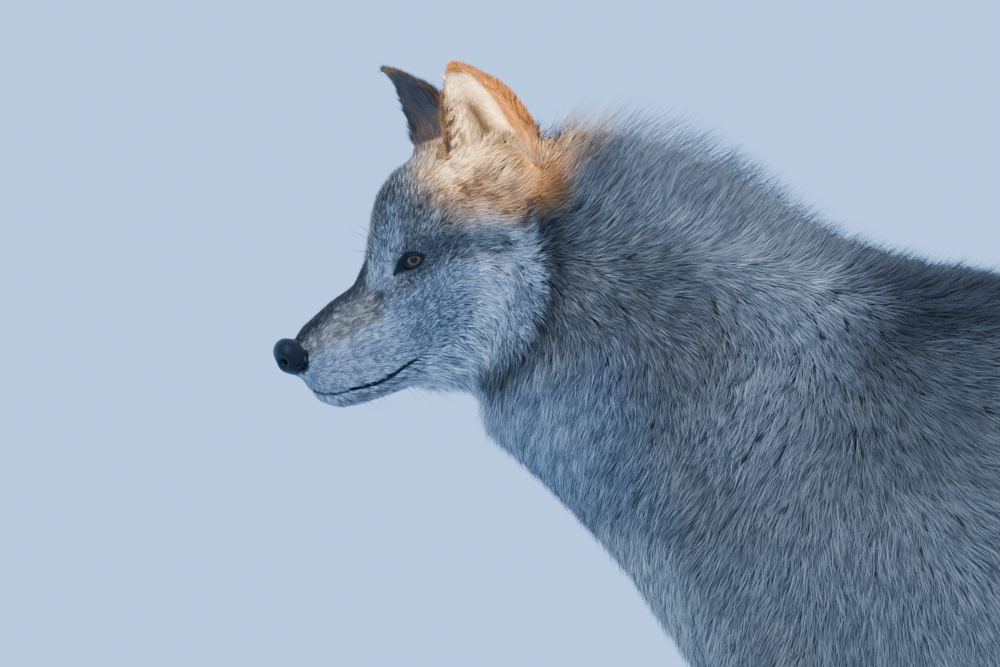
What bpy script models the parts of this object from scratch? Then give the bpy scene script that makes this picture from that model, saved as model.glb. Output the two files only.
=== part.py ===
"""Grey wolf, standing, life size, as a museum shows one: a still model in named solids.

The animal is modelled whole, out to the tips of its coat, and then parted with thin cuts. The row
frame is in metres with +Z up: the wolf faces -Y, its left side is +X, and the soles stand on Z = 0.
Body forms are lofts: rings carried along a path, each ring worked out from a few named sizes. They
are fused by a voxel remesh, thinned to few faces, and cut where a person would name a part. Ears,
eyes, nose and claws are forms of their own, seated in pockets a hair wider than they are.
"""

import math

import bmesh
import bpy
import numpy as np
from mathutils import Matrix, Vector

# ---------------------------------------------------------------- driving dimensions, in metres
GAP = 0.0003  # clearance between neighbouring solids
VOXEL = 0.0045  # grid of the remesh that fuses the body forms
SMOOTHING = 7  # passes of the Smooth modifier that rounds the joins
BODY_FACES = 3500  # triangles left in the fused body before it is parted
SIDES = 40  # points round a body ring

FLOOR = 0.0
EYE_HEIGHT = 0.852  # the eyes' midpoint above the floor
EYE_FORWARD = -0.384  # and ahead of the withers
HEAD_SIDE = 0.004  # the neck's small swing to the left
HEAD_PITCH = math.radians(24)  # nose down
HEAD_YAW = math.radians(14)  # nose to the wolf's left

EYE_RADIUS = 0.0125
EYE_SPREAD = 0.0365  # eye centre from the head's mid plane
EYE_AT = (-0.006, 0.0)  # forward and up in the head's frame

EAR_LENGTH = 0.112
EAR_HALF_WIDTH = 0.048
EAR_THICK = 0.0075

CLAW_LENGTH = 0.019
CLAW_RADIUS = 0.0036
SOLE_SINK = 0.004  # paws are modelled this far into the floor, then cut flat


# ---------------------------------------------------------------- small tools
def clear_scene():
    for obj in list(bpy.data.objects):
        bpy.data.objects.remove(obj)


def through(rows, count):
    """A smooth table of `count` rows through the given rows, by Catmull-Rom."""
    rows = np.array(rows, float)
    ends = np.vstack([2 * rows[0] - rows[1], rows, 2 * rows[-1] - rows[-2]])
    where = np.linspace(0, len(rows) - 1 - 1e-9, count)
    i = where.astype(int)
    t = (where - i)[:, None]
    a, b, c, d = (ends[i + k] for k in range(4))
    bend = (3 * b - a - 3 * c + d) * t**3 + (2 * a - 5 * b + 4 * c - d) * t**2
    return 0.5 * (bend + (c - a) * t + 2 * b)


def signed_power(value, power):
    return np.sign(value) * np.abs(value) ** power


def loft(rings):
    """One closed mesh over rings of equal point counts. Each end is closed by a ladder of faces."""
    rings = np.array(rings, float)
    count, sides = rings.shape[:2]
    points = rings.reshape(-1, 3)
    a, b = np.meshgrid(np.arange(count - 1), np.arange(sides), indexing="ij")
    after = (b + 1) % sides
    quads = np.stack([a * sides + b, a * sides + after, (a + 1) * sides + after, (a + 1) * sides + b], -1)
    last = (count - 1) * sides
    rungs = [(k, k + 1, sides - 2 - k, sides - 1 - k) for k in range(sides // 2 - 1)]
    caps = rungs + [tuple(last + corner for corner in rung[::-1]) for rung in rungs]
    mesh = bpy.data.meshes.new("form")
    mesh.from_pydata(points.tolist(), [], quads.reshape(-1, 4).tolist() + caps)
    face_out(mesh)
    return mesh


def face_out(mesh):
    """Triangles all round, facing outwards."""
    work = bmesh.new()
    work.from_mesh(mesh)
    bmesh.ops.triangulate(work, faces=work.faces)
    bmesh.ops.recalc_face_normals(work, faces=work.faces)
    if work.calc_volume(signed=True) < 0:
        bmesh.ops.reverse_faces(work, faces=work.faces)
    work.to_mesh(mesh)
    work.free()


def ball(centre, radii, turn=(0, 0, 0), fineness=4):
    """An ellipsoid, turned by Euler angles in degrees about its centre."""
    work = bmesh.new()
    bmesh.ops.create_icosphere(work, subdivisions=fineness, radius=1.0)
    turned = Matrix.Rotation(math.radians(turn[2]), 4, "Z") @ Matrix.Rotation(math.radians(turn[1]), 4, "Y")
    turned = turned @ Matrix.Rotation(math.radians(turn[0]), 4, "X")
    work.transform(Matrix.Translation(centre) @ turned @ Matrix.Diagonal((*radii, 1)))
    mesh = bpy.data.meshes.new("form")
    work.to_mesh(mesh)
    work.free()
    return mesh


def mirrored(mesh):
    """The same form on the wolf's other side."""
    twin = mesh.copy()
    twin.transform(Matrix.Diagonal((-1, 1, 1, 1)))
    face_out(twin)
    return twin


def add_object(name, mesh):
    obj = bpy.data.objects.new(name, mesh)
    bpy.context.scene.collection.objects.link(obj)
    return obj


def joined(meshes):
    """Several closed forms in one mesh, still overlapping."""
    work = bmesh.new()
    for mesh in meshes:
        work.from_mesh(mesh)
    whole = bpy.data.meshes.new("forms")
    work.to_mesh(whole)
    work.free()
    return whole


def evaluated(obj):
    """The object's mesh with its modifiers worked out. The object is removed."""
    bpy.context.view_layer.update()
    graph = bpy.context.evaluated_depsgraph_get()
    mesh = bpy.data.meshes.new_from_object(obj.evaluated_get(graph))
    bpy.data.objects.remove(obj)
    return mesh


def boolean(mesh, cutter, operation):
    """mesh with cutter taken away or kept in common, by Blender's exact solver."""
    base = add_object("base", mesh)
    tool = add_object("tool", cutter)
    modifier = base.modifiers.new("cut", "BOOLEAN")
    modifier.operation = operation
    modifier.solver = "EXACT"
    modifier.object = tool
    made = evaluated(base)
    bpy.data.objects.remove(tool)
    return made


def swollen(mesh, by=GAP):
    """A copy grown outwards by a clearance, along its vertex normals."""
    work = bmesh.new()
    work.from_mesh(mesh)
    work.normal_update()
    for vertex in work.verts:
        vertex.co += vertex.normal * by * 1.25
    grown = bpy.data.meshes.new("grown")
    work.to_mesh(grown)
    work.free()
    return grown


# ---------------------------------------------------------------- trunk and neck
# Back and belly outline as pairs, rump to nape: back (y, z), belly (y, z), half width, squareness.
BODY_STATIONS = (
    (0.687, 0.715, 0.683, 0.600, 0.050, 2.0),
    (0.655, 0.768, 0.655, 0.530, 0.092, 2.0),
    (0.550, 0.812, 0.540, 0.485, 0.120, 2.1),
    (0.400, 0.820, 0.390, 0.470, 0.132, 2.1),
    (0.250, 0.828, 0.240, 0.440, 0.148, 2.1),
    (0.120, 0.848, 0.110, 0.412, 0.154, 2.1),
    (0.020, 0.867, -0.010, 0.413, 0.150, 2.1),
    (-0.045, 0.893, -0.090, 0.452, 0.142, 2.1),
    (-0.095, 0.924, -0.145, 0.518, 0.137, 2.1),
    (-0.150, 0.951, -0.195, 0.590, 0.130, 2.1),
    (-0.200, 0.966, -0.251, 0.652, 0.120, 2.0),
    (-0.240, 0.965, -0.303, 0.704, 0.104, 2.0),
    (-0.270, 0.948, -0.316, 0.744, 0.080, 2.0),
)
RINGS_BODY = 60


def body_form():
    angle = np.linspace(0, 2 * math.pi, SIDES, endpoint=False)
    rings = []
    for back_y, back_z, belly_y, belly_z, half_width, square in through(BODY_STATIONS, RINGS_BODY):
        across = half_width * signed_power(np.sin(angle), 2 / square)
        along = signed_power(np.cos(angle), 2 / square) / 2
        y = (back_y + belly_y) / 2 + (back_y - belly_y) * along
        z = (back_z + belly_z) / 2 + (back_z - belly_z) * along
        rings.append(np.stack([across, y, z], 1))
    return loft(rings)


# ---------------------------------------------------------------- limbs and tail
def limb(stations, count=40, sides=24):
    """Rings across a path. A station is x, y, z, half length fore and aft, half width."""
    rows = through(stations, count)
    centres = rows[:, :3]
    along = np.gradient(centres, axis=0)
    along /= np.linalg.norm(along, axis=1)[:, None]
    side = np.array([1.0, 0.0, 0.0])
    rings = []
    angle = np.linspace(0, 2 * math.pi, sides, endpoint=False)
    for centre, tangent, (fore, wide) in zip(centres, along, rows[:, 3:5]):
        front = np.cross(side, tangent)
        front /= np.linalg.norm(front)
        across = np.cross(tangent, front)
        rings.append(
            centre + np.outer(np.cos(angle) * wide, across) + np.outer(np.sin(angle) * fore, front)
        )
    return loft(rings)


FORE_STEP = 0.022  # the left forepaw stands this far ahead of square, the right one behind
HIND_STEP = 0.035  # the left hind paw stands this far behind square, the right one ahead

FORELEG = (
    (0.084, -0.045, 0.620, 0.080, 0.052),
    (0.084, -0.043, 0.530, 0.078, 0.050),
    (0.080, -0.037, 0.455, 0.062, 0.043),
    (0.075, -0.041, 0.395, 0.046, 0.036),
    (0.071, -0.047, 0.310, 0.038, 0.031),
    (0.068, -0.051, 0.235, 0.032, 0.028),
    (0.067, -0.053, 0.180, 0.032, 0.030),
    (0.068, -0.057, 0.135, 0.027, 0.026),
    (0.070, -0.065, 0.085, 0.029, 0.028),
    (0.072, -0.075, 0.050, 0.034, 0.034),
    (0.072, -0.079, 0.026, 0.034, 0.036),
)
HINDLEG = (
    (0.070, 0.545, 0.690, 0.090, 0.048),
    (0.078, 0.543, 0.610, 0.122, 0.056),
    (0.084, 0.525, 0.520, 0.112, 0.056),
    (0.085, 0.510, 0.435, 0.082, 0.048),
    (0.081, 0.542, 0.360, 0.056, 0.038),
    (0.076, 0.587, 0.295, 0.042, 0.030),
    (0.073, 0.621, 0.240, 0.035, 0.026),
    (0.072, 0.625, 0.180, 0.026, 0.023),
    (0.073, 0.620, 0.110, 0.025, 0.023),
    (0.074, 0.613, 0.065, 0.028, 0.027),
    (0.075, 0.603, 0.028, 0.030, 0.032),
)
TAIL = (
    (0.000, 0.615, 0.745, 0.040, 0.040),
    (0.000, 0.667, 0.722, 0.044, 0.044),
    (0.002, 0.710, 0.668, 0.048, 0.046),
    (0.004, 0.737, 0.595, 0.058, 0.054),
    (0.006, 0.745, 0.510, 0.066, 0.060),
    (0.008, 0.739, 0.425, 0.062, 0.056),
    (0.010, 0.729, 0.350, 0.044, 0.040),
    (0.010, 0.722, 0.305, 0.020, 0.018),
    (0.010, 0.719, 0.290, 0.006, 0.006),
)
ELBOW_Z, STIFLE_Z = 0.44, 0.47
FORE_PAW, HIND_PAW = 1.12, 1.0  # size of a fore and a hind paw beside the named toe sizes


def stepped(stations, step, joint_z):
    """Leg stations with the part below the joint swung fore or aft, most at the floor."""
    rows = np.array(stations, float)
    share = np.clip((joint_z + 0.12 - rows[:, 2]) / (joint_z + 0.12), 0, 1)
    rows[:, 1] += step * share
    return rows


# Toes, inner pair to outer pair: side offset, forward offset, length, radius.
TOES = (
    (-0.026, 0.018, 0.024, 0.0135),
    (-0.010, 0.040, 0.027, 0.0145),
    (0.011, 0.040, 0.027, 0.0145),
    (0.027, 0.018, 0.024, 0.0135),
)
TOE_SPLAY = 7  # degrees between neighbouring toes
PAW_TURN = 6  # degrees that a paw points out


def paw_frame(x, y, side):
    """Where a paw stands: its heel's place and its turn outwards."""
    return Matrix.Translation((side * x, y, 0)) @ Matrix.Rotation(side * math.radians(PAW_TURN), 4, "Z")


def paw_forms(x, y, side, size):
    """The pad, the knuckles and four toes of a paw, pointing to -Y."""
    frame = paw_frame(x, y, side)
    forms = [
        ball((0, -0.012 * size, 0.019 * size), (0.037 * size, 0.044 * size, 0.024 * size)),
        ball((0, -0.020 * size, 0.034 * size), (0.030 * size, 0.036 * size, 0.022 * size), turn=(18, 0, 0)),
    ]
    for index, (aside, ahead, length, radius) in enumerate(TOES):
        turn = (index - 1.5) * TOE_SPLAY
        centre = (side * aside * size, -(ahead + 0.012) * size, 0.0125 * size)
        shape = (radius * size, length * size, 0.0165 * size)
        forms.append(ball(centre, shape, turn=(8, 0, side * turn), fineness=3))
        knuckle = (centre[0] * 0.92, centre[1] + 0.014 * size, 0.024 * size)
        forms.append(ball(knuckle, (0.0125 * size, 0.020 * size, 0.0145 * size), fineness=3))
    for form in forms:
        form.transform(frame)
        form.transform(Matrix.Translation((0, 0, -SOLE_SINK * 0.5)))
    return forms


def claw_form(base, heading, droop=0.45):
    """A curved cone from base, out along heading (degrees from -Y) and down to its tip."""
    steps = np.linspace(0, 1, 5)
    angle = np.linspace(0, 2 * math.pi, 6, endpoint=False)
    turn = math.radians(heading)
    ahead = np.array([math.sin(turn), -math.cos(turn), 0])
    aside = np.array([math.cos(turn), math.sin(turn), 0])
    up = np.array([0, 0, 1.0])
    rings = []
    for step in steps:
        centre = np.array(base) + ahead * CLAW_LENGTH * step + up * (0.0015 - droop * CLAW_LENGTH * step**2)
        radius = CLAW_RADIUS * (1 - 0.82 * step**1.3)
        slope = math.atan(2 * droop * step)
        normal = up * math.cos(slope) + ahead * math.sin(slope)
        rings.append(
            centre
            + np.outer(np.cos(angle) * radius * 0.75, aside)
            + np.outer(np.sin(angle) * radius, normal)
        )
    return loft(rings)


def claws_of(x, y, side, size):
    """Four claws of a paw, inner to outer."""
    frame = paw_frame(x, y, side)
    claws = []
    for index, (aside, ahead, length, _) in enumerate(TOES):
        turn = (index - 1.5) * TOE_SPLAY
        base = (side * aside * size * 1.06, -(ahead + 0.012 + length * 0.72) * size, 0.0165 * size)
        claw = claw_form(base, side * turn)
        claw.transform(frame)
        claws.append(claw)
    return claws


# ---------------------------------------------------------------- head
def head_frame():
    """The head's axes in the row frame: X forward to the nose, Y to the left, Z up."""
    forward = Vector((
        math.sin(HEAD_YAW) * math.cos(HEAD_PITCH),
        -math.cos(HEAD_YAW) * math.cos(HEAD_PITCH),
        -math.sin(HEAD_PITCH),
    ))
    left = Vector((math.cos(HEAD_YAW), math.sin(HEAD_YAW), 0))
    up = forward.cross(left)
    turn = Matrix((forward, left, up)).transposed().to_4x4()
    return Matrix.Translation((HEAD_SIDE, EYE_FORWARD, EYE_HEIGHT)) @ turn


# Head rings, nape to nose: forward, top, bottom, half width, height of the widest point,
# squareness above it and below it. The origin is midway between the eyes.
HEAD_STATIONS = (
    (-0.170, 0.010, -0.105, 0.050, -0.050, 2.0, 2.0),
    (-0.140, 0.050, -0.138, 0.084, -0.050, 2.0, 2.0),
    (-0.105, 0.072, -0.150, 0.099, -0.055, 2.0, 2.0),
    (-0.070, 0.080, -0.147, 0.096, -0.052, 2.0, 2.0),
    (-0.045, 0.080, -0.138, 0.082, -0.046, 2.0, 2.0),
    (-0.020, 0.073, -0.127, 0.066, -0.040, 2.0, 2.1),
    (0.000, 0.058, -0.114, 0.054, -0.038, 1.9, 2.2),
    (0.018, 0.030, -0.106, 0.045, -0.040, 2.0, 2.3),
    (0.032, 0.010, -0.101, 0.039, -0.046, 2.1, 2.4),
    (0.044, 0.001, -0.099, 0.036, -0.052, 2.2, 2.5),
    (0.065, -0.003, -0.097, 0.0335, -0.058, 2.2, 2.5),
    (0.090, -0.010, -0.094, 0.031, -0.060, 2.2, 2.5),
    (0.105, -0.015, -0.086, 0.027, -0.056, 2.2, 2.4),
    (0.114, -0.021, -0.074, 0.020, -0.050, 2.1, 2.2),
    (0.119, -0.030, -0.062, 0.010, -0.046, 2.0, 2.0),
)
RINGS_HEAD = 72

# Soft swellings (+) and hollows (-) of the face: centre (forward, side, up), spread, height.
FACE_FORMS = (
    ((0.006, 0.034, 0.018), (0.015, 0.013, 0.009), 0.0035),  # brow ridge
    ((0.001, 0.048, 0.000), (0.014, 0.016, 0.009), -0.0062),  # eye socket
    ((0.030, 0.034, -0.022), (0.018, 0.014, 0.014), -0.0030),  # hollow below the eye
    ((-0.025, 0.066, -0.028), (0.024, 0.020, 0.014), 0.0040),  # cheekbone
    ((0.020, 0.000, 0.036), (0.026, 0.010, 0.018), -0.0025),  # forehead furrow
    ((0.092, 0.029, -0.058), (0.016, 0.014, 0.014), 0.0025),  # whisker pad
    ((0.058, 0.012, 0.000), (0.036, 0.010, 0.010), 0.0015),  # bridge edge
)


def head_form():
    angle = np.linspace(0, 2 * math.pi, SIDES + 8, endpoint=False)
    rings = []
    for forward, top, bottom, half_width, widest, above, below in through(HEAD_STATIONS, RINGS_HEAD):
        upper = np.cos(angle) >= 0
        power = np.where(upper, 2 / above, 2 / below)
        reach = np.where(upper, top - widest, widest - bottom)
        side = half_width * signed_power(np.sin(angle), power)
        height = widest + reach * signed_power(np.cos(angle), power)
        rings.append(np.stack([np.full_like(side, forward), side, height], 1))
    mesh = loft(rings)
    model_face(mesh)
    mesh.transform(head_frame())
    return mesh


def model_face(mesh):
    """Moves the head's surface along its normals by the sum of the face forms."""
    count = len(mesh.vertices)
    points, normals = np.empty(count * 3), np.empty(count * 3)
    mesh.vertices.foreach_get("co", points)
    mesh.vertices.foreach_get("normal", normals)
    points, normals = points.reshape(-1, 3), normals.reshape(-1, 3)
    folded = points * (1, 0, 1) + np.abs(points) * (0, 1, 0)
    height = np.zeros(count)
    for centre, spread, amount in FACE_FORMS:
        away = (folded - centre) / spread
        height += amount * np.exp(-0.5 * (away**2).sum(1))
    mesh.vertices.foreach_set("co", (points + normals * height[:, None]).ravel())
    mesh.update()


# Ears: base centre and tip in the head's frame, and the way that the cup opens.
EARS = {
    "left": ((-0.103, 0.054, 0.044), (-0.093, 0.086, 0.146), (0.66, 0.72, -0.05)),
    "right": ((-0.085, -0.050, 0.050), (-0.075, -0.080, 0.155), (0.86, -0.50, 0.0)),
}
EAR_ROOT = -0.24  # how far below its base an ear starts, as a share of its length


def ear_form(base, tip, opening):
    """A cupped leaf: crescent rings from inside the head up to a rounded tip.

    At height t the ear is an arc of half angle `wrap`, whose chord narrows to the tip. The ring runs
    up the outer arc and back along the inner one, closer together towards the rims.
    """
    base, tip = np.array(base), np.array(tip)
    axis = (tip - base) / np.linalg.norm(tip - base)
    face = np.array(opening) - axis * np.dot(opening, axis)
    face /= np.linalg.norm(face)
    side = np.cross(axis, face)
    length = np.linalg.norm(tip - base)
    across = np.linspace(-1, 1, 9)
    rings = []
    for t in np.concatenate([np.linspace(EAR_ROOT, 0.76, 9), [0.86, 0.93, 0.975, 1.0]]):
        up = max(t, 0)
        taper = (1 - up**3.2) ** 0.6
        half = EAR_HALF_WIDTH * max(taper, 0.06) * (1 - 0.42 * up)
        wrap = math.radians(88 - 46 * up)
        radius = half / math.sin(wrap)
        thick = EAR_THICK * (0.35 + 0.65 * (1 - np.abs(across) ** 3)) * (0.55 + 0.45 * max(taper, 0.1))
        outer = [ring_point(a, wrap, radius) for a in across]
        inner = [ring_point(a, wrap, radius - h) for a, h in zip(across[::-1], thick)]
        lean = 0.10 * up**2 * EAR_HALF_WIDTH
        ring = [
            base + axis * length * t + side * s + face * (f + radius * 0.35 + lean)
            for s, f in outer + inner
        ]
        rings.append(ring)
    mesh = loft(rings)
    mesh.transform(head_frame())
    return mesh


def ring_point(across, wrap, radius):
    """A point of an arc, as its way across the ear and its way towards the opening."""
    return radius * math.sin(across * wrap), -radius * math.cos(across * wrap)


def eye_form(side):
    centre = Vector((EYE_AT[0], side * EYE_SPREAD, EYE_AT[1]))
    return ball(head_frame() @ centre, (EYE_RADIUS,) * 3, fineness=3)


NOSE_AT = (0.1145, 0.0, -0.0385)
NOSE_SIZE = (0.0165, 0.0195, 0.0190)


def nose_form():
    """The bare nose pad: a rounded block that narrows to the lip, with two comma nostrils."""
    work = bmesh.new()
    bmesh.ops.create_uvsphere(work, u_segments=20, v_segments=12, radius=1.0)
    for vertex in work.verts:
        x, y, z = vertex.co
        square = 1.0 / (abs(x) ** 2.8 + abs(y) ** 2.8 + abs(z) ** 2.8) ** (1 / 2.8)
        x, y, z = x * square, y * square, z * square
        narrow = 1.0 - 0.34 * max(-z, 0) ** 1.2
        groove = 0.16 * math.exp(-((y / 0.16) ** 2)) * max(x, 0) * (1 if z < 0.5 else 0.3)
        nostril = 0.42 * math.exp(-(((abs(y) - 0.55) / 0.24) ** 2 + ((z + 0.12) / 0.26) ** 2)) * max(x, 0)
        slit = 0.20 * math.exp(-(((abs(y) - 0.92) / 0.22) ** 2 + ((z + 0.30) / 0.14) ** 2))
        vertex.co = (
            (x - 0.30 * max(-z, 0) - nostril - groove) * NOSE_SIZE[0],
            y * narrow * (1 - slit) * NOSE_SIZE[1],
            z * NOSE_SIZE[2],
        )
    work.transform(head_frame() @ Matrix.Translation(NOSE_AT) @ Matrix.Rotation(math.radians(-6), 4, "Y"))
    mesh = bpy.data.meshes.new("nose")
    work.to_mesh(mesh)
    work.free()
    return mesh


# ---------------------------------------------------------------- fusing and parting
def legs():
    """Each leg's name, its stations after the step, its side and its paw's size."""
    rows = {}
    for side, word in ((1, "left"), (-1, "right")):
        fore = stepped(FORELEG, -FORE_STEP * side, ELBOW_Z) * (side, 1, 1, 1, 1)
        hind = stepped(HINDLEG, HIND_STEP * side, STIFLE_Z) * (side, 1, 1, 1, 1)
        rows["foreleg_" + word] = (fore, side, FORE_PAW)
        rows["hindleg_" + word] = (hind, side, HIND_PAW)
    return rows


def all_claws():
    claws = {}
    for name, (rows, side, size) in legs().items():
        for index, claw in enumerate(claws_of(abs(rows[-1, 0]), rows[-1, 1], side, size)):
            claws[f"claw_{name}_{index + 1}"] = claw
    return claws


def fused_body():
    """Body, limbs, tail, paws and head as one smooth closed surface."""
    forms = [body_form(), limb(TAIL), head_form()]
    for rows, side, size in legs().values():
        forms.append(limb(rows))
        forms += paw_forms(abs(rows[-1, 0]), rows[-1, 1], side, size)
    body = add_object("fused", joined(forms))
    remesh = body.modifiers.new("fuse", "REMESH")
    remesh.mode = "VOXEL"
    remesh.voxel_size = VOXEL
    smooth = body.modifiers.new("round", "SMOOTH")
    smooth.factor = 0.5
    smooth.iterations = SMOOTHING
    return evaluated(body)


def thinned(mesh, faces):
    """The mesh with its flat places merged, down to a number of triangles."""
    body = add_object("thin", mesh)
    current = sum(len(polygon.vertices) - 2 for polygon in mesh.polygons)
    decimate = body.modifiers.new("thin", "DECIMATE")
    decimate.ratio = faces / current
    return evaluated(body)


def prism(outline, x_from, x_to):
    """A closed prism over a (y, z) outline, between two x values."""
    count = len(outline)
    points = [(x_from, y, z) for y, z in outline] + [(x_to, y, z) for y, z in outline]
    sides = [(k, (k + 1) % count, count + (k + 1) % count, count + k) for k in range(count)]
    mesh = bpy.data.meshes.new("prism")
    mesh.from_pydata(points, [], [tuple(range(count)), tuple(range(count, 2 * count)), *sides])
    face_out(mesh)
    return mesh


def grown_outline(outline, by):
    """The outline moved out by a clearance at every corner."""
    points = np.array(outline, float)
    before = np.roll(points, 1, 0) - points
    after = np.roll(points, -1, 0) - points
    area = 0.5 * np.sum(points[:, 0] * np.roll(points[:, 1], -1) - points[:, 1] * np.roll(points[:, 0], -1))
    before /= np.linalg.norm(before, axis=1)[:, None]
    after /= np.linalg.norm(after, axis=1)[:, None]
    normal_after = np.stack([after[:, 1], -after[:, 0]], 1) * np.sign(area)
    normal_before = np.stack([-before[:, 1], before[:, 0]], 1) * np.sign(area)
    middle = normal_after + normal_before
    middle /= np.linalg.norm(middle, axis=1)[:, None]
    reach = by / (middle * normal_after).sum(1)
    return (points + middle * reach[:, None]).tolist()


# Where the body is parted: each outline, in (y, z), holds one part of the animal.
HEAD_CUT = ((-0.238, 1.20), (-0.238, 0.95), (-0.312, 0.690), (-0.60, 0.50), (-0.80, 0.50), (-0.80, 1.20))
NECK_CUT = ((0.012, 1.20), (0.012, 0.90), (-0.182, 0.470), (-0.80, 0.30), (-0.80, 1.20))
TAIL_CUT = (
    (0.640, 0.90), (0.640, 0.775), (0.681, 0.680), (0.673, 0.600), (0.673, 0.285), (1.0, 0.285), (1.0, 0.90)
)
TAIL_HALF_WIDTH = 0.075
FORE_CUT = ((-0.30, -0.2), (-0.30, 0.402), (0.20, 0.402), (0.20, -0.2))
HIND_CUT = ((0.30, -0.2), (0.30, 0.405), (0.67, 0.505), (0.95, 0.505), (0.95, -0.2))


def divide(mesh, outline, x_from=-1.0, x_to=1.0, clearance_x=0.0):
    """Parts a mesh at a prism. Gives the piece inside and the rest, a clearance apart."""
    inside = boolean(mesh.copy(), prism(outline, x_from, x_to), "INTERSECT")
    outer = prism(grown_outline(outline, GAP), x_from - clearance_x, x_to + clearance_x)
    rest = boolean(mesh, outer, "DIFFERENCE")
    return inside, rest


def soles_flat(mesh):
    """Cuts the paws level at the floor."""
    under = prism(((-2, -1), (2, -1), (2, FLOOR), (-2, FLOOR)), -1, 1)
    return boolean(mesh, under, "DIFFERENCE")


# ---------------------------------------------------------------- materials
def material(name, colour, roughness, **more):
    made = bpy.data.materials.new(name)
    made.use_nodes = True
    shader = made.node_tree.nodes["Principled BSDF"]
    shader.inputs["Base Color"].default_value = (*colour, 1)
    shader.inputs["Roughness"].default_value = roughness
    for key, value in more.items():
        shader.inputs[key].default_value = value
    made.diffuse_color = (*colour, 1)
    return made


COATS = {
    "head": (0.30, 0.27, 0.23),
    "neck": (0.23, 0.20, 0.165),
    "trunk": (0.26, 0.23, 0.19),
    "tail": (0.24, 0.21, 0.175),
    "foreleg_left": (0.42, 0.37, 0.30),
    "foreleg_right": (0.42, 0.37, 0.30),
    "hindleg_left": (0.40, 0.35, 0.285),
    "hindleg_right": (0.40, 0.35, 0.285),
    "ear_left": (0.36, 0.24, 0.14),
    "ear_right": (0.36, 0.24, 0.14),
}


def finish_piece(name, mesh, surface, smooth_angle=50):
    """A named object with its material, smooth shaded but for sharp edges."""
    obj = add_object(name, mesh)
    mesh.name = name
    mesh.materials.clear()
    mesh.materials.append(surface)
    work = bmesh.new()
    work.from_mesh(mesh)
    bmesh.ops.remove_doubles(work, verts=work.verts, dist=0.00002)
    bmesh.ops.dissolve_degenerate(work, edges=work.edges, dist=0.00002)
    bmesh.ops.triangulate(work, faces=work.faces)
    for face in work.faces:
        face.smooth = True
        face.material_index = 0
    for edge in work.edges:
        if len(edge.link_faces) == 2 and edge.calc_face_angle(0) > math.radians(smooth_angle):
            edge.smooth = False
    work.to_mesh(mesh)
    work.free()
    return obj


# ---------------------------------------------------------------- the wolf
def build():
    clear_scene()
    whole = soles_flat(thinned(fused_body(), BODY_FACES))

    ears = {name: ear_form(*where) for name, where in EARS.items()}
    eyes = {"left": eye_form(1), "right": eye_form(-1)}
    nose = nose_form()
    head, whole = divide(whole, HEAD_CUT)
    neck, whole = divide(whole, NECK_CUT)
    tail, whole = divide(whole, TAIL_CUT, -TAIL_HALF_WIDTH, TAIL_HALF_WIDTH, GAP)
    pieces = {}
    for name, outline in (("foreleg", FORE_CUT), ("hindleg", HIND_CUT)):
        pieces[name + "_left"], whole = divide(whole, outline, 0.0, 1.0, GAP)
        pieces[name + "_right"], whole = divide(whole, outline, -1.0, -0.0, GAP)
    pieces["trunk"] = whole
    pieces["tail"] = tail
    pieces["neck"] = neck

    for side in ("left", "right"):
        head = boolean(head, swollen(ears[side]), "DIFFERENCE")
        pieces["neck"] = boolean(pieces["neck"], swollen(ears[side]), "DIFFERENCE")
        head = boolean(head, swollen(eyes[side]), "DIFFERENCE")
        pieces["ear_" + side] = ears[side]
    head = boolean(head, swollen(nose), "DIFFERENCE")
    pieces["head"] = head
    claws = all_claws()
    for name, claw in claws.items():
        leg = name[len("claw_"):-2]
        pieces[leg] = boolean(pieces[leg], swollen(claw), "DIFFERENCE")

    for name, mesh in sorted(pieces.items()):
        finish_piece(name, mesh, material("coat " + name.replace("_", " "), COATS[name], 0.9))
    amber = material("eye amber", (0.22, 0.11, 0.03), 0.08, **{"Coat Weight": 0.5})
    for side in ("left", "right"):
        finish_piece("eye_" + side, eyes[side], amber)
    finish_piece("nose", nose, material("nose leather", (0.012, 0.012, 0.014), 0.38))
    horn = material("claw horn", (0.035, 0.030, 0.027), 0.42)
    for name, claw in claws.items():
        finish_piece(name, claw, horn)
    centre_on_floor()


def centre_on_floor():
    """Shifts every solid so that the middle of the wolf's box is over the origin."""
    solids = [obj for obj in bpy.data.objects if obj.type == "MESH"]
    corners = np.array([vertex.co[:] for obj in solids for vertex in obj.data.vertices])
    low, high = corners.min(0), corners.max(0)
    shift = Matrix.Translation((-(low[0] + high[0]) / 2, -(low[1] + high[1]) / 2, -low[2]))
    for obj in solids:
        obj.data.transform(shift)


build()
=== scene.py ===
# %% [markdown]
# # A grey wolf in winter coat
# This lesson dresses a standing wolf that was built as plain solids. The solids are the coat's outer
# shape. Here one skin goes inside them, and a coat of small blades of hair grows out to their surface.
# Fur could also be drawn as curves, but a mesh of blades keeps its shape in any program. The solids
# arrive as a fixed frame, in metres, with +Z up, the wolf facing -Y and its left side +X.

# %% Load the solids
import itertools
import math

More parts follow.
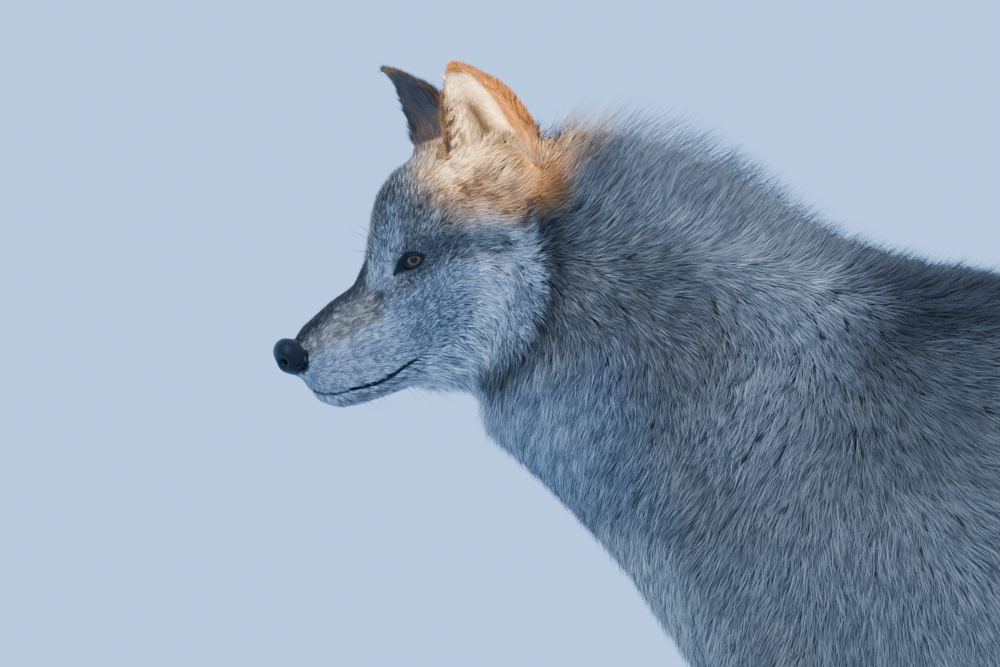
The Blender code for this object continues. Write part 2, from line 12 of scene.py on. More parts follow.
import bmesh
import bpy
import numpy as np
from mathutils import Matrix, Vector


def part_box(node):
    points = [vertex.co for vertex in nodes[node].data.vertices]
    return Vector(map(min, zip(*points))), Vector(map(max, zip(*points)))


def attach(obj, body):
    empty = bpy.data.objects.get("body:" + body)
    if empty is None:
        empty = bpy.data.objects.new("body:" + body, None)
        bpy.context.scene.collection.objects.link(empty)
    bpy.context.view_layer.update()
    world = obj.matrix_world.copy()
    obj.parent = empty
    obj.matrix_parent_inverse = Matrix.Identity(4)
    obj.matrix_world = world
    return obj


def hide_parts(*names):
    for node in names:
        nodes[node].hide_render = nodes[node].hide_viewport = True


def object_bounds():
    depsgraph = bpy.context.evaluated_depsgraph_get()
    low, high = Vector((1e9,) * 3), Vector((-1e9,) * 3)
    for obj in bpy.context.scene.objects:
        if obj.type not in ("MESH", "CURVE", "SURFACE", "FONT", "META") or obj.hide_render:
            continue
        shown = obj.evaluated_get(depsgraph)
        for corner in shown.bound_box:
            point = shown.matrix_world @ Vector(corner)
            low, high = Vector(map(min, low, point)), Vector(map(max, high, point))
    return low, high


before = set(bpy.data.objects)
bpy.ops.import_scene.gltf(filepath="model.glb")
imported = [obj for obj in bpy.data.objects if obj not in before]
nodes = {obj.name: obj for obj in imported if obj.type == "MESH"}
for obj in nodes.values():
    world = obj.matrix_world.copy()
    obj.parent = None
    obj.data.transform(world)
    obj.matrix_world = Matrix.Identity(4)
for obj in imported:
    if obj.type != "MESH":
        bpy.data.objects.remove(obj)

SOLIDS_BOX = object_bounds()
corners = [[round(value, 3) for value in corner] for corner in SOLIDS_BOX]
print(len(nodes), "solids, from", corners[0], "to", corners[1])

# %% [markdown]
# A wolf's face is easiest to describe along its own axes: forward to the nose, left, and up. The eyes
# give the left axis, and the head hangs nose down by a known angle. Points on the body are measured
# from the withers, the top of the shoulders, because most markings of the coat start there.

# %% The head's axes
HEAD_PITCH = math.radians(24)
EYE_SETBACK = 0.006
WITHERS_BEHIND_EYES = 0.384


def unit(vectors):
    """Each vector divided by its length."""
    return vectors / np.maximum(np.linalg.norm(vectors, axis=-1, keepdims=True), 1e-12)


def middle_of(name):
    """The middle of a solid's box."""
    low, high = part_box(name)
    return (np.array(low) + np.array(high)) / 2


LEFT_EYE = middle_of("eye_left")
RIGHT_EYE = middle_of("eye_right")
HEAD_LEFT = unit(LEFT_EYE - RIGHT_EYE)
level_forward = np.cross(HEAD_LEFT, (0, 0, 1))
HEAD_FORWARD = unit(level_forward * math.cos(HEAD_PITCH) - np.array((0, 0, math.sin(HEAD_PITCH))))
HEAD_UP = np.cross(HEAD_FORWARD, HEAD_LEFT)
HEAD_AXES = np.array((HEAD_FORWARD, HEAD_LEFT, HEAD_UP))
HEAD_ORIGIN = (LEFT_EYE + RIGHT_EYE) / 2 + HEAD_FORWARD * EYE_SETBACK
WITHERS = np.array((0.0, HEAD_ORIGIN[1] + WITHERS_BEHIND_EYES, 0.0))


def to_head(points):
    """Points in the head's frame: forward, left, up from midway between the eyes."""
    return (points - HEAD_ORIGIN) @ HEAD_AXES.T


def from_head(local):
    """Points of the head's frame back in the row frame."""
    return HEAD_ORIGIN + np.asarray(local) @ HEAD_AXES


head_turn = math.degrees(math.atan2(HEAD_FORWARD[0], -HEAD_FORWARD[1]))
print("head turned", round(head_turn), "degrees to its left")

# %% [markdown]
# Hair never repeats, yet a lesson has to give the same wolf at each run. What belongs to a place comes
# from a function that turns a cell of space into a number, and what belongs to one blade from a seeded
# row of draws. Soft noise blends the numbers of neighbouring cells. Locks gather hairs around the
# nearest of many scattered centres.

# %% Soft edges, and chance that stays the same
def soft_step(start, end, value):
    """0 before start, 1 after end, and a smooth S between."""
    t = np.clip((value - start) / (end - start), 0, 1)
    return t * t * (3 - 2 * t)


def band(value, middle, wide):
    """A bell curve of a field: 1 at the middle, and falling off over the given width."""
    return np.exp(-(((value - middle) / wide) ** 2))


def cell_number(cells, seed):
    """A number from 0 to 1 for each whole-number cell, by mixing its bits."""
    c = cells.astype(np.int64)
    h = (c[..., 0] * 73856093) ^ (c[..., 1] * 19349663) ^ (c[..., 2] * 83492791) ^ (seed * 40503)
    h = ((h ^ (h >> 15)) * 2246822519) & 0xFFFFFFFF
    h = ((h ^ (h >> 13)) * 3266489917) & 0xFFFFFFFF
    return ((h ^ (h >> 16)) & 0xFFFFFF) / 0x1000000


def soft_noise(points, size, seed):
    """Cell numbers blended between the 8 corners of each cell of the given size."""
    cells = np.floor(points / size)
    part = points / size - cells
    part = part * part * (3 - 2 * part)
    total = np.zeros(len(points))
    for corner in itertools.product((0, 1), repeat=3):
        weight = np.prod(np.where(corner, part, 1 - part), axis=1)
        total += weight * cell_number(cells + corner, seed)
    return total


def lock_centres(points, size, seed):
    """The nearest scattered centre to each point, and that centre's own number."""
    cells = np.floor(points / size)
    nearest = np.full(len(points), 1e9)
    centres = np.zeros_like(points)
    numbers = np.zeros(len(points))
    for shift in itertools.product((-1, 0, 1), repeat=3):
        cell = cells + shift
        jitter = np.stack([cell_number(cell, seed + k) for k in range(3)], -1)
        spot = (cell + jitter) * size
        away = ((spot - points) ** 2).sum(1)
        closer = away < nearest
        nearest[closer] = away[closer]
        centres[closer] = spot[closer]
        numbers[closer] = cell_number(cell[closer], seed + 7)
    return centres, numbers


print("one cell's number, the same at each run:", round(float(cell_number(np.array((1, 2, 3)), 7)), 3))

# %% [markdown]
# Colours are written as the hex values that a painter would mix on a screen, and one function turns
# them into the linear light that a renderer adds up. The other functions add a node to a material, and
# put together the three finishes that come back: a painted layer, two tones of a pattern, and a grain.

# %% Colours and nodes
def linear(colour):
    """An sRGB hex colour as three linear values."""
    value = np.array([int(colour[k : k + 2], 16) for k in (1, 3, 5)]) / 255
    return np.where(value <= 0.04045, value / 12.92, ((value + 0.055) / 1.055) ** 2.4)


def add_node(tree, kind, settings=None, links=None):
    """A node of a kind, with its settings and what is linked into its sockets."""
    node = tree.nodes.new(kind)
    for key, value in (settings or {}).items():
        if isinstance(key, int) or key in node.inputs:
            node.inputs[key].default_value = value
        else:
            setattr(node, key, value)
    for key, source in (links or {}).items():
        tree.links.new(source, node.inputs[key])
    return node


def new_material(name, roughness, **sockets):
    """A material with only its Principled shader and output, and that shader's settings."""
    material = bpy.data.materials.new(name)
    material.use_nodes = True
    shader = material.node_tree.nodes["Principled BSDF"]
    shader.inputs["Roughness"].default_value = roughness
    for key, value in sockets.items():
        shader.inputs[key.replace("_", " ")].default_value = value
    return material, material.node_tree, shader


def painted_by(tree, shader, layer_name):
    """Lets a colour layer of the mesh colour the shader."""
    layer = add_node(tree, "ShaderNodeAttribute", {"attribute_name": layer_name})
    tree.links.new(layer.outputs["Color"], shader.inputs["Base Color"])


def two_tones(tree, shader, pattern, dark, light):
    """Colours the shader between two hex colours by a pattern that runs from 0 to 1."""
    ramp = add_node(tree, "ShaderNodeValToRGB", None, {"Fac": pattern})
    for stop, colour in zip(ramp.color_ramp.elements, (dark, light)):
        stop.color = (*linear(colour), 1)
    tree.links.new(ramp.outputs["Color"], shader.inputs["Base Color"])


def grained_by(tree, shader, pattern, strength, distance, **settings):
    """Lets a pattern bump the shader's surface, as deep as the distance in metres."""
    settings.update(Strength=strength, Distance=distance)
    bump = add_node(tree, "ShaderNodeBump", settings, {"Height": pattern})
    tree.links.new(bump.outputs["Normal"], shader.inputs["Normal"])


print("a middle grey in linear light:", linear("#808080").round(3))

# %% [markdown]
# The skin is made from copies of the flesh solids. Each copy is swollen a little, so that the thin
# cuts between them close, and a voxel remesh fuses them into one surface. Boolean unions would keep
# each facet, but they leave slivers where two solids only just meet, and a coat needs an even grid.

# %% One surface from many solids
FLESH = ["head", "neck", "trunk", "tail", "ear_left", "ear_right"]
FLESH += [leg + side for leg in ("foreleg_", "hindleg_") for side in ("left", "right")]
SKIN_GRID = 0.0032
SEAM_SWELL, EAR_SWELL = 0.0003, 0.0012
MERGE_WITHIN = 0.00001


def merged_copy(name, swell):
    """A solid's mesh with its loose corners merged, moved out along its normals."""
    work = bmesh.new()
    work.from_mesh(nodes[name].data)
    bmesh.ops.remove_doubles(work, verts=work.verts, dist=MERGE_WITHIN)
    work.normal_update()
    for vertex in work.verts:
        vertex.co += vertex.normal * swell
    return work


print(len(FLESH), "solids of flesh")


# %% Reading and changing a mesh
def mesh_arrays(mesh):
    """Corner positions, normals, edges and triangles of a mesh, as arrays."""
    count = len(mesh.vertices)
    points, normals = np.empty(count * 3), np.empty(count * 3)
    mesh.vertices.foreach_get("co", points)
    mesh.vertices.foreach_get("normal", normals)
    edges = np.empty(len(mesh.edges) * 2, np.int64)
    mesh.edges.foreach_get("vertices", edges)
    mesh.calc_loop_triangles()
    triangles = np.empty(len(mesh.loop_triangles) * 3, np.int64)
    mesh.loop_triangles.foreach_get("vertices", triangles)
    return points.reshape(-1, 3), normals.reshape(-1, 3), edges.reshape(-1, 2), triangles.reshape(-1, 3)


def with_modifier(obj, kind, **settings):
    """Applies one modifier: the mesh that it makes goes back into the object."""
    modifier = obj.modifiers.new(kind, kind)
    for key, value in settings.items():
        setattr(modifier, key, value)
    bpy.context.view_layer.update()
    mesh = bpy.data.meshes.new_from_object(obj.evaluated_get(bpy.context.evaluated_depsgraph_get()))
    obj.modifiers.clear()
    obj.data = mesh


def new_object(name, content):
    """An object at the origin that holds a mesh, a lamp or a camera."""
    obj = bpy.data.objects.new(name, content)
    bpy.context.scene.collection.objects.link(obj)
    return obj


print("corners of the head's solid:", len(mesh_arrays(nodes["head"].data)[0]))

# %% The solids fused
together = bmesh.new()
for name in FLESH + ["eye_left", "eye_right", "nose"]:
    copy = merged_copy(name, EAR_SWELL if name.startswith("ear_") else SEAM_SWELL)
    holder = bpy.data.meshes.new("copy")
    copy.to_mesh(holder)
    together.from_mesh(holder)
    copy.free()
flesh = bpy.data.meshes.new("skin")
together.to_mesh(flesh)
together.free()
skin = new_object("skin", flesh)
with_modifier(skin, "REMESH", mode="VOXEL", voxel_size=SKIN_GRID)
print("fused surface:", len(skin.data.vertices), "corners")

# %% [markdown]
# A voxel remesh leaves steps, and the solids under it have facets. Smoothing removes both. The body
# takes many passes. The head and the feet take few, or the ears and toes would melt. The body is
# then thinned, because fur hides it, and the skin round the eyes and mouth is divided finer instead.

# %% Smooth the body, keep the head fine
BODY_SMOOTHING = 16
HEAD_SMOOTHING = 3
BODY_KEPT = 0.16
FINE_BEHIND_EYES, FINE_HEAD_FROM, FINE_FEET_TO = -0.175, 0.68, 0.075


def group_where(obj, name, chosen):
    """A vertex group of the corners that are chosen."""
    group = obj.vertex_groups.new(name=name)
    group.add(np.flatnonzero(chosen).tolist(), 1.0, "REPLACE")
    return name


def is_fine(points):
    """True on the head, the ears and the feet."""
    on_head = (to_head(points)[:, 0] > FINE_BEHIND_EYES) & (points[:, 2] > FINE_HEAD_FROM)
    return on_head | (points[:, 2] < FINE_FEET_TO)


with_modifier(skin, "SMOOTH", factor=0.5, iterations=HEAD_SMOOTHING)
fine = is_fine(mesh_arrays(skin.data)[0])
body = group_where(skin, "body", ~fine)
with_modifier(skin, "SMOOTH", factor=0.5, iterations=BODY_SMOOTHING, vertex_group=body)
skin.vertex_groups.clear()
fine = is_fine(mesh_arrays(skin.data)[0])
body = group_where(skin, "body", ~fine)
body_share = 1 - fine.mean()
with_modifier(
    skin, "DECIMATE", ratio=1 - body_share * (1 - BODY_KEPT), vertex_group=body, vertex_group_factor=10
)
skin.vertex_groups.clear()
print("thinned surface:", len(skin.data.vertices), "corners,", len(skin.data.polygons), "faces")

# %% [markdown]
# Lids and lips are only a millimetre or two thick, so the skin needs a finer grid there. Every edge
# near them is divided once, and those closest a second time. The line of the lips is a row of places
# on the head's own axes, and the same line later guides the groove of the mouth and the chin's colour.

# %% A finer grid for lids and lips
FINE_REACH = 0.024
LIPS_FROM, LIPS_TO = 0.018, 0.126
MOUTH_FORWARD = (0.024, 0.037, 0.048, 0.058, 0.067, 0.088, 0.102, 0.111, 0.117, 0.123)
MOUTH_UP = (-0.0765, -0.0765, -0.0790, -0.0805, -0.0810, -0.0775, -0.0755, -0.0715, -0.0665, -0.0620)


def divide_near(mesh, chosen):
    """Splits every edge whose two ends are chosen."""
    work = bmesh.new()
    work.from_mesh(mesh)
    work.verts.ensure_lookup_table()
    picked = [e for e in work.edges if chosen[e.verts[0].index] and chosen[e.verts[1].index]]
    bmesh.ops.subdivide_edges(work, edges=picked, cuts=1, use_grid_fill=True, smooth=0.0)
    bmesh.ops.triangulate(work, faces=[f for f in work.faces if len(f.verts) > 4])
    work.to_mesh(mesh)
    work.free()


def above_mouth(local):
    """Height of head-frame points above the line of the lips."""
    return local[:, 2] - np.interp(local[:, 0], MOUTH_FORWARD, MOUTH_UP)


for reach in (FINE_REACH, FINE_REACH * 0.75):
    points = mesh_arrays(skin.data)[0]
    local = to_head(points)
    from_left, from_right = (np.linalg.norm(points - eye, axis=1) for eye in (LEFT_EYE, RIGHT_EYE))
    lips = (np.abs(above_mouth(local)) < reach * 0.3) & (local[:, 0] > LIPS_FROM) & (local[:, 0] < LIPS_TO)
    divide_near(skin.data, (np.minimum(from_left, from_right) < reach) | lips)
print("with fine lids and lips:", len(skin.data.vertices), "corners,", len(skin.data.polygons), "faces")

# %% [markdown]
# Everything about the coat is laid down as layers, like glazes: each layer has a mask, from 0 to 1 over
# the skin, and a worth that it pulls the layers below towards. Painting the masks by hand is another
# way. Here each is worked out from where a point lies and which way it faces, so it can be read and
# corrected as a number. On the head a mask is mostly a streak, and on the flanks a patch.

# %% Where each part of the coat is
shell, shell_normals, edges, triangles = mesh_arrays(skin.data)
COUNT = len(shell)


def spread(values, times):
    """Values averaged with those of the neighbouring corners, a number of times."""
    values = np.array(values, float)
    flat = values.reshape(COUNT, -1)
    share = np.bincount(edges.ravel(), minlength=COUNT)[:, None] + 1
    for _ in range(times):
        total = flat.copy()
        for column in range(flat.shape[1]):
            total[:, column] += np.bincount(edges[:, 0], flat[edges[:, 1], column], COUNT)
            total[:, column] += np.bincount(edges[:, 1], flat[edges[:, 0], column], COUNT)
        flat = total / share
    return flat.reshape(values.shape)


def layered(base, layers):
    """A base value for every corner, pulled towards each layer's worth by its mask."""
    value = np.tile(np.atleast_1d(np.asarray(base, float)), (COUNT, 1))
    for mask, worth in layers:
        value += (np.asarray(worth, float) - value) * mask[:, None]
    return value


normals = unit(spread(shell_normals, 4))
local = to_head(shell)
# The head folded onto its left side, for marks that both sides share.
folded = local * (1, 0, 1) + np.abs(local) * (0, 1, 0)
place = shell - WITHERS
along, height = place[:, 1], place[:, 2]
across = np.abs(place[:, 0])
side = np.sign(place[:, 0] + 1e-9)
local_normals = normals @ HEAD_AXES.T
facing_up = normals[:, 2]


def streak(start, end, radius, hardness=0.45):
    """A soft sausage between two points of the head's frame, on both sides: 1 inside, 0 outside."""
    start, run = np.array(start), np.array(end) - start
    share = np.clip((folded - start) @ run / (run @ run + 1e-12), 0, 1)
    away = np.linalg.norm(folded - start - share[:, None] * run, axis=1) / radius
    return 1 - soft_step(1 - hardness, 1 + hardness, away)


def patch(y, z, long, tall, hardness=0.5):
    """A soft ellipse on both flanks: 1 inside and 0 outside."""
    away = np.hypot((along - y) / long, (height - z) / tall)
    return 1 - soft_step(1 - hardness, 1 + hardness, away)


print(COUNT, "corners of skin to lay the coat on")

# %% [markdown]
# An ear is a shell with an inside, a back and a rim, and the two ears are turned differently. Each has
# an axis from its foot to its tip and a direction in which it opens. From these come, for each corner,
# its height up the ear, whether it lies inside, and how near it is to the front or the rear edge.

# %% The ears' own measures
EAR_ROWS, EAR_ROWS_TO_TIP = 25, 20
EARS = {
    "left": ((-0.103, 0.054, 0.044), (-0.093, 0.086, 0.146), (0.66, 0.72, -0.05)),
    "right": ((-0.085, -0.050, 0.050), (-0.075, -0.080, 0.155), (0.86, -0.50, 0.0)),
}
EAR_REACH = 0.058
ear_height, ear_inside, ear_mask, ear_edge = (np.zeros(COUNT) for _ in range(4))
ear_axis, ear_across = np.zeros((COUNT, 3)), np.zeros((COUNT, 3))
for word, (base, tip, opening) in EARS.items():
    base, axis = np.array(base), np.array(tip) - base
    up_ear = (local - base) @ axis / (axis @ axis)
    from_axis = local - base - up_ear[:, None] * axis
    axis = unit(axis)
    towards = np.array(opening) - axis * (axis @ opening)
    inside = soft_step(-0.05, 0.25, local_normals @ unit(towards))
    to_rear = unit(np.cross(axis, towards)) * (1 if word == "left" else -1)
    sideways = from_axis @ to_rear
    foot_at = 0.04 + inside * (0.07 - 0.14 * soft_step(0.0, 0.015, sideways))
    mask = soft_step(foot_at, foot_at + 0.17 - 0.06 * inside, up_ear)
    mask *= (np.linalg.norm(from_axis, axis=1) < EAR_REACH) * (1 - soft_step(1.2, 1.3, up_ear))
    row = np.clip((up_ear * EAR_ROWS_TO_TIP).astype(int), 0, EAR_ROWS - 1)
    widest = np.full(EAR_ROWS, 0.001)
    np.maximum.at(widest, row[mask > 0], np.abs(sideways)[mask > 0])
    chosen = mask > ear_mask
    ear_edge[chosen] = (sideways / widest[row])[chosen]
    ear_height[chosen] = up_ear[chosen]
    ear_inside[chosen] = inside[chosen]
    ear_axis[chosen], ear_across[chosen] = axis, to_rear
    ear_mask = np.maximum(ear_mask, mask)
ear_edge, ear_inside = spread(ear_edge, 1), spread(ear_inside, 1)
print("ears:", int((ear_mask > 0.5).sum()), "corners")

# %% [markdown]
# The other parts follow from the withers and from the head's axes. Each mask is a product of soft
# steps, because on a live animal one kind of fur gives way to the next over a few centimetres. The
# face is the one part with a sharp rear edge: its short hair ends in the ruff, which stands over the neck.

# %% Parts of the body
head = soft_step(-0.185, -0.150, local[:, 0]) * soft_step(0.655, 0.70, shell[:, 2])
FACE_MIDDLE, FACE_REACH = 0.040, 0.125
from_face = np.hypot(local[:, 0] - FACE_MIDDLE, np.minimum(local[:, 2], 0))
from_face += 0.16 * np.maximum(-local[:, 2] - 0.02, 0)
face = (1 - soft_step(FACE_REACH - 0.008, FACE_REACH + 0.008, from_face)) * head
nape = (head - face) * (1 - ear_mask)
behind_neck_line = (along + 0.085) * 0.911 + (height - 0.685) * -0.411
neck = (1 - face) * (1 - soft_step(-0.05, 0.05, behind_neck_line)) * soft_step(0.42, 0.50, height)
CREST_AT, CREST_HEIGHT = (-0.28, -0.10, 0.0, 0.15, 0.70), (0.955, 0.895, 0.868, 0.855, 0.84)
below_crest = np.interp(along, CREST_AT, CREST_HEIGHT) - height
mane = (1 - head) * (1 - soft_step(0.010, 0.045, below_crest)) * (1 - soft_step(0.06, 0.24, along))
tail = soft_step(0.655, 0.685, along) * soft_step(0.27, 0.30, height)
tail *= 1 - soft_step(0.075, 0.085, across)
leg = (1 - soft_step(0.36, 0.47, height)) * (1 - tail) * soft_step(0.026, 0.036, across)
shank = (1 - soft_step(0.22, 0.33, height)) * (1 - tail)
paw = 1 - soft_step(0.05, 0.085, height)
belly = soft_step(0.2, 0.8, -facing_up) * (1 - leg) * (1 - tail) * (1 - head) * (1 - neck)
chest = (1 - head) * soft_step(0.35, 0.8, -normals[:, 1]) * (1 - soft_step(0.60, 0.75, height)) * (1 - leg)
shoulder = patch(-0.02, 0.70, 0.24, 0.22) * (1 - head)
throat = soft_step(0.35, 0.85, -local_normals[:, 2]) * head * (1 - soft_step(0.0, 0.04, local[:, 0]))
print("face:", int((face > 0.5).sum()), "corners, neck:", int((neck > 0.5).sum()), "corners")

# %% Parts of the head
muzzle = soft_step(0.018, 0.050, local[:, 0]) * head
cheek = soft_step(0.0, 0.06, -local[:, 0]) * (1 - soft_step(0.02, 0.07, local[:, 2])) * face
ruff = soft_step(0.076, 0.120, from_face) * (1 - soft_step(0.01, 0.04, local[:, 2])) * face
collar = band(from_face - FACE_REACH, 0.012, 0.012) * nape
collar *= 1 - soft_step(0.0, 0.04, local[:, 2])
eyes = streak((-0.010, 0.048, 0.004), (0.010, 0.038, 0.000), 0.012, 0.3)
chin = muzzle * (1 - soft_step(-0.006, 0.0, above_mouth(local)))
ear_front_hair = ear_mask * ear_inside * soft_step(0.15, 0.75, -ear_edge)
ear_front_hair *= 1 - soft_step(0.7, 0.85, ear_height)
outer = 1 - ear_mask * ear_inside
ear_root = streak((-0.110, 0.084, 0.050), (-0.114, 0.100, 0.010), 0.018) * outer
ear_tuft = streak((-0.117, 0.054, 0.056), (-0.121, 0.084, 0.040), 0.017) * outer
ear_tuft *= 1 - soft_step(0.3, 0.8, local_normals[:, 0])
FRINGE_AT, FRINGE_HEIGHT = (-0.31, -0.24, -0.17, -0.10, -0.03, 0.05), (0.012, 0.022, 0.027, 0.019, 0.008, 0)
fringe = np.interp(along, FRINGE_AT, FRINGE_HEIGHT) * (1 - soft_step(0.006, 0.024, below_crest))
fringe *= (1 - face) * (1 - ear_mask) * (1 - ear_tuft)
nape_crest = nape * (1 - soft_step(0.02, 0.07, below_crest)) * (1 - ear_tuft)
gullet = streak((0.000, 0.0, -0.112), (-0.040, 0.0, -0.150), 0.032)
ear_back = ear_mask * (1 - ear_inside)
ear_back_low = ear_back * (1 - soft_step(0.45, 0.85, ear_height))
medial = soft_step(0.1, 0.6, -local_normals[:, 1] * np.sign(local[:, 1] + 1e-9))
hollow = soft_step(0.0001, 0.0006, ((spread(shell, 6) - shell) * normals).sum(1))
crease = spread(hollow * (1 - ear_mask) * (1 - soft_step(-0.03, 0.0, local[:, 0])), 6)
print("corners in hollows:", int((hollow > 0.5).sum()))

# %% [markdown]
# The first worths say how deep the coat is, how long and wide its blades are, how many grow on a square
# millimetre, and what share of them have dark tips. A wolf's winter hair is 60 to 100 mm long on the
# mane and tail and a few millimetres on the muzzle, ears and feet. Long hair overlaps so much that
# shorter and wider blades show the same coat. A second, smaller set says where hair stands up.

# %% The coat's depth, length, width and number
# Worths: depth mm, blade length mm, blade width mm, blades per square mm, and share of dark tips.
COAT_SMOOTHING = 4
COAT = spread(
    layered(
        (15, 37, 1.05, 0.31, 0.25),
        [
            (soft_step(0.3, 0.9, facing_up), (16, 38, 1.0, 0.34, 0.60)),
            (belly, (12, 40, 1.5, 0.14, 0.05)),
            (shoulder, (16, 30, 0.85, 0.52, 0.35)),
            (neck, (18, 26, 0.75, 0.80, 0.40)),
            (nape, (14, 22, 0.75, 0.90, 0.45)),
            (chest, (17, 30, 0.9, 0.52, 0.12)),
            (patch(-0.06, 0.80, 0.10, 0.07), (15, 24, 0.80, 0.60, 0.08)),
            (neck * patch(-0.285, 0.70, 0.08, 0.08), (14, 24, 0.75, 0.80, 0.15)),
            (mane, (29, 40, 0.75, 0.80, 0.50)),
            (tail, (24, 60, 1.5, 0.22, 0.45)),
            (leg, (9, 23, 1.25, 0.24, 0.10)),
            (shank, (3.2, 11, 1.0, 0.50, 0.06)),
            (paw, (2.2, 7, 0.9, 0.75, 0.05)),
            (face, (4.0, 8.5, 0.85, 1.7, 0.56)),
            (cheek, (6.0, 14, 0.70, 1.5, 0.18)),
            (ruff, (11, 22, 0.75, 1.1, 0.08)),
            (throat, (7.0, 18, 0.8, 1.0, 0.04)),
            (gullet, (12, 26, 0.8, 0.9, 0.04)),
            (muzzle, (2.0, 5.5, 0.5, 2.3, 0.20)),
            (eyes, (1.2, 3.5, 0.4, 2.6, 0.30)),
            (nape_crest, (15, 30, 0.80, 0.80, 0.35)),
            (ear_root, (7, 20, 0.65, 1.8, 0.06)),
            (ear_tuft, (4, 22, 0.65, 2.0, 0.05)),
            (ear_mask, (1.3, 7.5, 0.55, 1.9, 0.20)),
            (ear_back, (1.6, 11, 0.60, 2.0, 0.06)),
            (ear_back_low, (2.4, 18, 0.60, 2.2, 0.03)),
            (ear_front_hair, (2.0, 11, 0.60, 1.9, 0.35)),
        ],
    ),
    COAT_SMOOTHING,
)
depth, length, width = (COAT[:, k] / 1000 for k in range(3))
length *= 1 - 0.45 * hollow * ear_mask
number, dark_tips = COAT[:, 3], COAT[:, 4]
print("coat depth from", round(depth.min() * 1000, 1), "to", round(depth.max() * 1000, 1), "mm")

# %% How the hair stands, and how much it varies
# Stand multiplies the rise of a blade, proud adds millimetres to it, and varied spreads the tones.
STAND = [(face, 1.3), (cheek, 1.15), (muzzle, 1.1), (mane, 1.15), (ear_mask, 1.0), (ear_root, 1.1)]
PROUD = [
    (mane, 5), (nape_crest, 7), (gullet, 8), (ear_root, 3), (ear_back, 4), (ear_back_low, 9),
    (ear_tuft, 5), (ear_back * medial, 0),
]
stand = spread(layered(1, STAND)[:, 0], 2) + 1.8 * hollow * ear_mask
proud = spread(layered(0, PROUD)[:, 0], 2) / 1000
VARIED = [
    (neck, 1.0), (nape, 1.0), (face, 2.1), (cheek, 1.1), (muzzle, 1.9), (ear_mask, 0.5),
    (ear_front_hair, 1.4), (ear_root, 0.6),
]
BODY_VARIED = 0.42
varied = spread(layered(BODY_VARIED, VARIED)[:, 0], 2)
streaky = ear_front_hair * (1 - soft_step(0.60, 0.80, ear_height))
streaky = np.maximum(streaky, 0.6 * streak((-0.066, 0.060, 0.052), (-0.094, 0.086, 0.018), 0.016))
print("hair stands up to", round(proud.max() * 1000, 1), "mm proud")

# %% [markdown]
# The lie of the coat is laid down in the same way, as layers of combing. Hair runs back from the nose,
# up the forehead to the ears, back and down over the cheeks, down the chest, back along the spine and
# down the legs and tail. On the neck the combing turns, from up and back at the raised crest, round
# through back, to down and forward over the throat. It is then pressed flat onto the skin and smoothed.
# Where two combings part, smoothing leaves a short vector, and the hair there is made to stand up close.

# %% The lie of the coat
def head_way(forward, outward, up):
    """A direction of the head's frame, mirrored to each side, in the row frame."""
    ways = np.stack([np.full(COUNT, forward), outward * np.sign(local[:, 1] + 1e-9), np.full(COUNT, up)], 1)
    return ways @ HEAD_AXES


def body_way(outward, back, up):
    """A direction of the row frame, mirrored to each side."""
    return np.stack([outward * side, np.full(COUNT, back), np.full(COUNT, up)], 1)


def pressed_flat(ways):
    """Directions with their part across the skin taken out, at length one."""
    return unit(ways - normals * (ways * normals).sum(1, keepdims=True))


print("down the flank:", body_way(0.0, 0.0, -1.0)[0])

